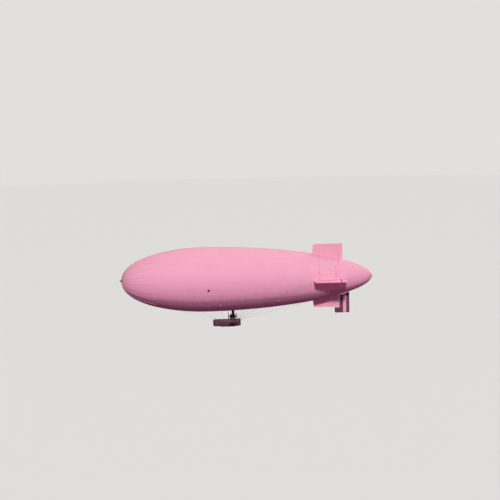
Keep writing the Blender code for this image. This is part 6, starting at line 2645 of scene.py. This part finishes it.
def build_patches():
    """Patches under every line, laid on the skin."""
    places = []
    for sign in SIDES.values():
        for x, distance, angle in STAYS:
            point, normal = anchor(distance, angle, sign, 0.002)
            places.append(facing(point, normal, Vector((x, sign * 0.28, -3.5)) - point))
        point, normal = anchor(*ENGINE_STAY, sign, 0.002)
        places.append(facing(point, normal, Vector((-0.1, sign * 1.02, -3.45)) - point))
        for distance, angle in HANDLING_PATCHES:
            point, normal = anchor(distance, angle, sign, 0.002)
            places.append(facing(point, normal, (0, 0, -1)))
    for _, tip, end, turn, _ in FINS:
        about = Matrix.Rotation(math.radians(turn), 4, "X")
        for station, height, _, angle in fin_braces(tip, end):
            point, normal = on_hull(station, angle, 0.002)
            head = Vector((station - ORIGIN_AT, 0, height))
            places.append(about @ facing(point, normal, head - point))
    cloth = copied("line_patches", fan_patch(), places)
    skin = bpy.data.objects["envelope_skin"]
    modified(
        cloth, "SHRINKWRAP", target=skin, wrap_method="NEAREST_SURFACEPOINT", wrap_mode="ABOVE_SURFACE",
        offset=0.0025
    )
    thickened(cloth, 0.0045)
    dress(tidy(cloth), patch_cloth, 40)
    rings = copied("patch_rings", patch_ring(), places)
    dress(tidy(rings), pale_paint, 40)


def tape_frame(name, distance, angle, length, width, tape, corner=4.0):
    """A taped outline laid on the envelope, round at its corners."""
    rings = []
    for inset in (0.0, tape):
        ring = []
        for i in range(64):
            turn = math.tau * i / 64
            share = [abs(math.cos(turn)) ** (2 / corner), abs(math.sin(turn)) ** (2 / corner)]
            along = math.copysign((length / 2 - inset) * share[0], math.cos(turn))
            across = math.copysign((width / 2 - inset) * share[1], math.sin(turn))
            spread = math.degrees(across / hull_radius(distance + along))
            ring.append(on_hull(distance + along, angle + spread, 0.0035)[0])
        rings.append(ring)
    with bench(name) as outline:
        for ring in rings:
            chain(ring, close=True)
        pick(outline, "edges", lambda e: True)
        bpy.ops.mesh.bridge_edge_loops()
    return thickened(outline, 0.003)


def build_panels():
    """The rip panel on the crown with its cord, and the inspection panels low on the sides."""
    pieces = [tape_frame("rip_panel", 6.4, 90, 2.2, 0.42, 0.035), tape_frame(
        "rip_panel_edge", 6.4, 90, 2.34, 0.56, 0.025
    )]
    for angle in (-58, 238):
        for distance in (10.9, 5.4):
            pieces.append(tape_frame("hand_hole", distance, angle, 0.30, 0.24, 0.028, 2.6))
    dress(tidy(joined("laid_panels", pieces)), hull_tape, 40)
    with bench("rip_cord") as cord:
        points = [on_hull(5.25 - 0.35 * i, 90, 0.009)[0] for i in range(10)]
        for here, there in zip(points, points[1:]):
            rod(here, there, 0.004, sides=6)
        for i in range(1, 9):
            point, normal = on_hull(5.25 - 0.35 * i, 90, 0.002)
            loop(point + 0.007 * normal, 0.010, 0.0025, AFT, 10)
            stepped(point, normal, ((0, 0.030), (0.002, 0.028)), 12)
    dress(tidy(cord), patch_cloth, 40)


# Air duct


def build_duct():
    with bench("duct_sleeve") as duct:
        profile = [(-2.60, 0.105)]
        for i in range(5):
            top = -2.66 - 0.094 * i
            profile += [(top - drop, radius) for drop, radius in DUCT_BAY]
        profile += [(-3.125, 0.1145), (-3.139, 0.105)]
        lathe(profile, 40, "Z", (DUCT_X, 0, 0))
    dress(tidy(capped(duct)), duct_cloth, 60, ["air_duct"])
    with bench("scoop_drop") as drop:
        profile = [
            (-3.142, 0.122), (-3.146, 0.130), (-3.160, 0.131), (-3.20, 0.134), (-3.30, 0.145),
            (-3.40, 0.158), (-3.440, 0.164), (-3.446, 0.172), (-3.4585, 0.172), (-3.4595, 0.16)
        ]
        lathe(profile, 40, "Z", (DUCT_X, 0, 0))
        stepped((DUCT_X + 0.168, 0, -3.452), UP, ((0, 0.006), (0.010, 0.006), (0.011, 0.004)), 6)
        around(12, "Z", (DUCT_X, 0, 0))
    pieces = [tidy(capped(drop))]
    z = BRANCH_Z
    mouth = Vector((-0.352, 0.520, z + 0.010))
    branch = pipe("branch", [
        (DUCT_X, 0.05, z), (-0.095, 0.24, z), (-0.105, 0.40, z), (-0.150, 0.478, z),
        (-0.235, 0.500, z + 0.004), (-0.352, 0.520, z + 0.010)
    ], 0.075, 28, shares=[1, 1, 1, 1.02, 1.12, 1.36], caps=False)
    thickened(branch, 0.006, -1)
    with bench("rim") as rim:
        loop((-0.354, 0.520, z + 0.010), 0.1005, 0.0045, (-0.98, 0.17, 0), 40)
        for place in ((-0.100, 0.30), (-0.12, 0.43)):
            loop((place[0], place[1], z), 0.0755, 0.0028, (-0.05, 1, 0), 32)
        for offset in (-0.06, -0.02, 0.02, 0.06):
            reach = math.sqrt(0.0985**2 - offset**2)
            up, across = Vector(UP), Vector((0.17, 0.98, 0))
            for over, along in ((across, up), (up, across)):
                middle = mouth + offset * over
                rod(middle - reach * along, middle + reach * along, 0.0016, 5)
    branch = tidy(joined("branch", [branch, rim]))
    pieces += [branch, mirrored(branch, "other_branch")]
    dress(joined("scoop_sheet", pieces), dark_paint, 45, ["air_scoop"])


class AIRSHIP_OT_engines(bpy.types.Operator):
    """Makes the two engines and their radiators"""

    bl_idname = "airship.engines"
    bl_label = "Engines"

    def execute(self, context):
        build_engines()
        build_radiators()
        return {"FINISHED"}


class AIRSHIP_OT_propellers(bpy.types.Operator):
    """Carves the propellers"""

    bl_idname = "airship.propellers"
    bl_label = "Propellers"

    def execute(self, context):
        build_propellers()
        return {"FINISHED"}


class AIRSHIP_OT_duct(bpy.types.Operator):
    """Makes the air duct and its scoops"""

    bl_idname = "airship.duct"
    bl_label = "Air Duct"

    def execute(self, context):
        build_duct()
        return {"FINISHED"}


class AIRSHIP_OT_rigging(bpy.types.Operator):
    """Rigs the outriggers, the suspension, the brace wires and the control cables"""

    bl_idname = "airship.rigging"
    bl_label = "Rigging"

    def execute(self, context):
        build_outrigger()
        build_suspension()
        fin_wires()
        control_cables()
        build_patches()
        build_panels()
        return {"FINISHED"}


class AIRSHIP_PT_sidebar(bpy.types.Panel):
    """The airship's pieces, one button for each group"""

    bl_idname = "AIRSHIP_PT_sidebar"
    bl_label = "Airship"
    bl_space_type = "VIEW_3D"
    bl_region_type = "UI"
    bl_category = "Airship"

    def draw(self, context):
        for maker in OPERATORS:
            self.layout.operator(maker.bl_idname)


OPERATORS = (
    AIRSHIP_OT_stage, AIRSHIP_OT_frame, AIRSHIP_OT_envelope, AIRSHIP_OT_nose, AIRSHIP_OT_valves,
    AIRSHIP_OT_tail, AIRSHIP_OT_car, AIRSHIP_OT_cockpits, AIRSHIP_OT_stores, AIRSHIP_OT_engines,
    AIRSHIP_OT_propellers, AIRSHIP_OT_duct, AIRSHIP_OT_rigging
)
SETTINGS = {"airship_stage": StageSettings, "airship_envelope": EnvelopeSettings}


def register():
    for item in (*SETTINGS.values(), *OPERATORS, AIRSHIP_PT_sidebar):
        bpy.utils.register_class(item)
    for name, item in SETTINGS.items():
        setattr(bpy.types.Scene, name, PointerProperty(type=item))


def unregister():
    for name in SETTINGS:
        delattr(bpy.types.Scene, name)
    for item in reversed((*SETTINGS.values(), *OPERATORS, AIRSHIP_PT_sidebar)):
        bpy.utils.unregister_class(item)


def main():
    register()
    for maker in OPERATORS:
        group, name = maker.bl_idname.split(".")
        getattr(getattr(bpy.ops, group), name)()


if __name__ == "__main__":
    main()
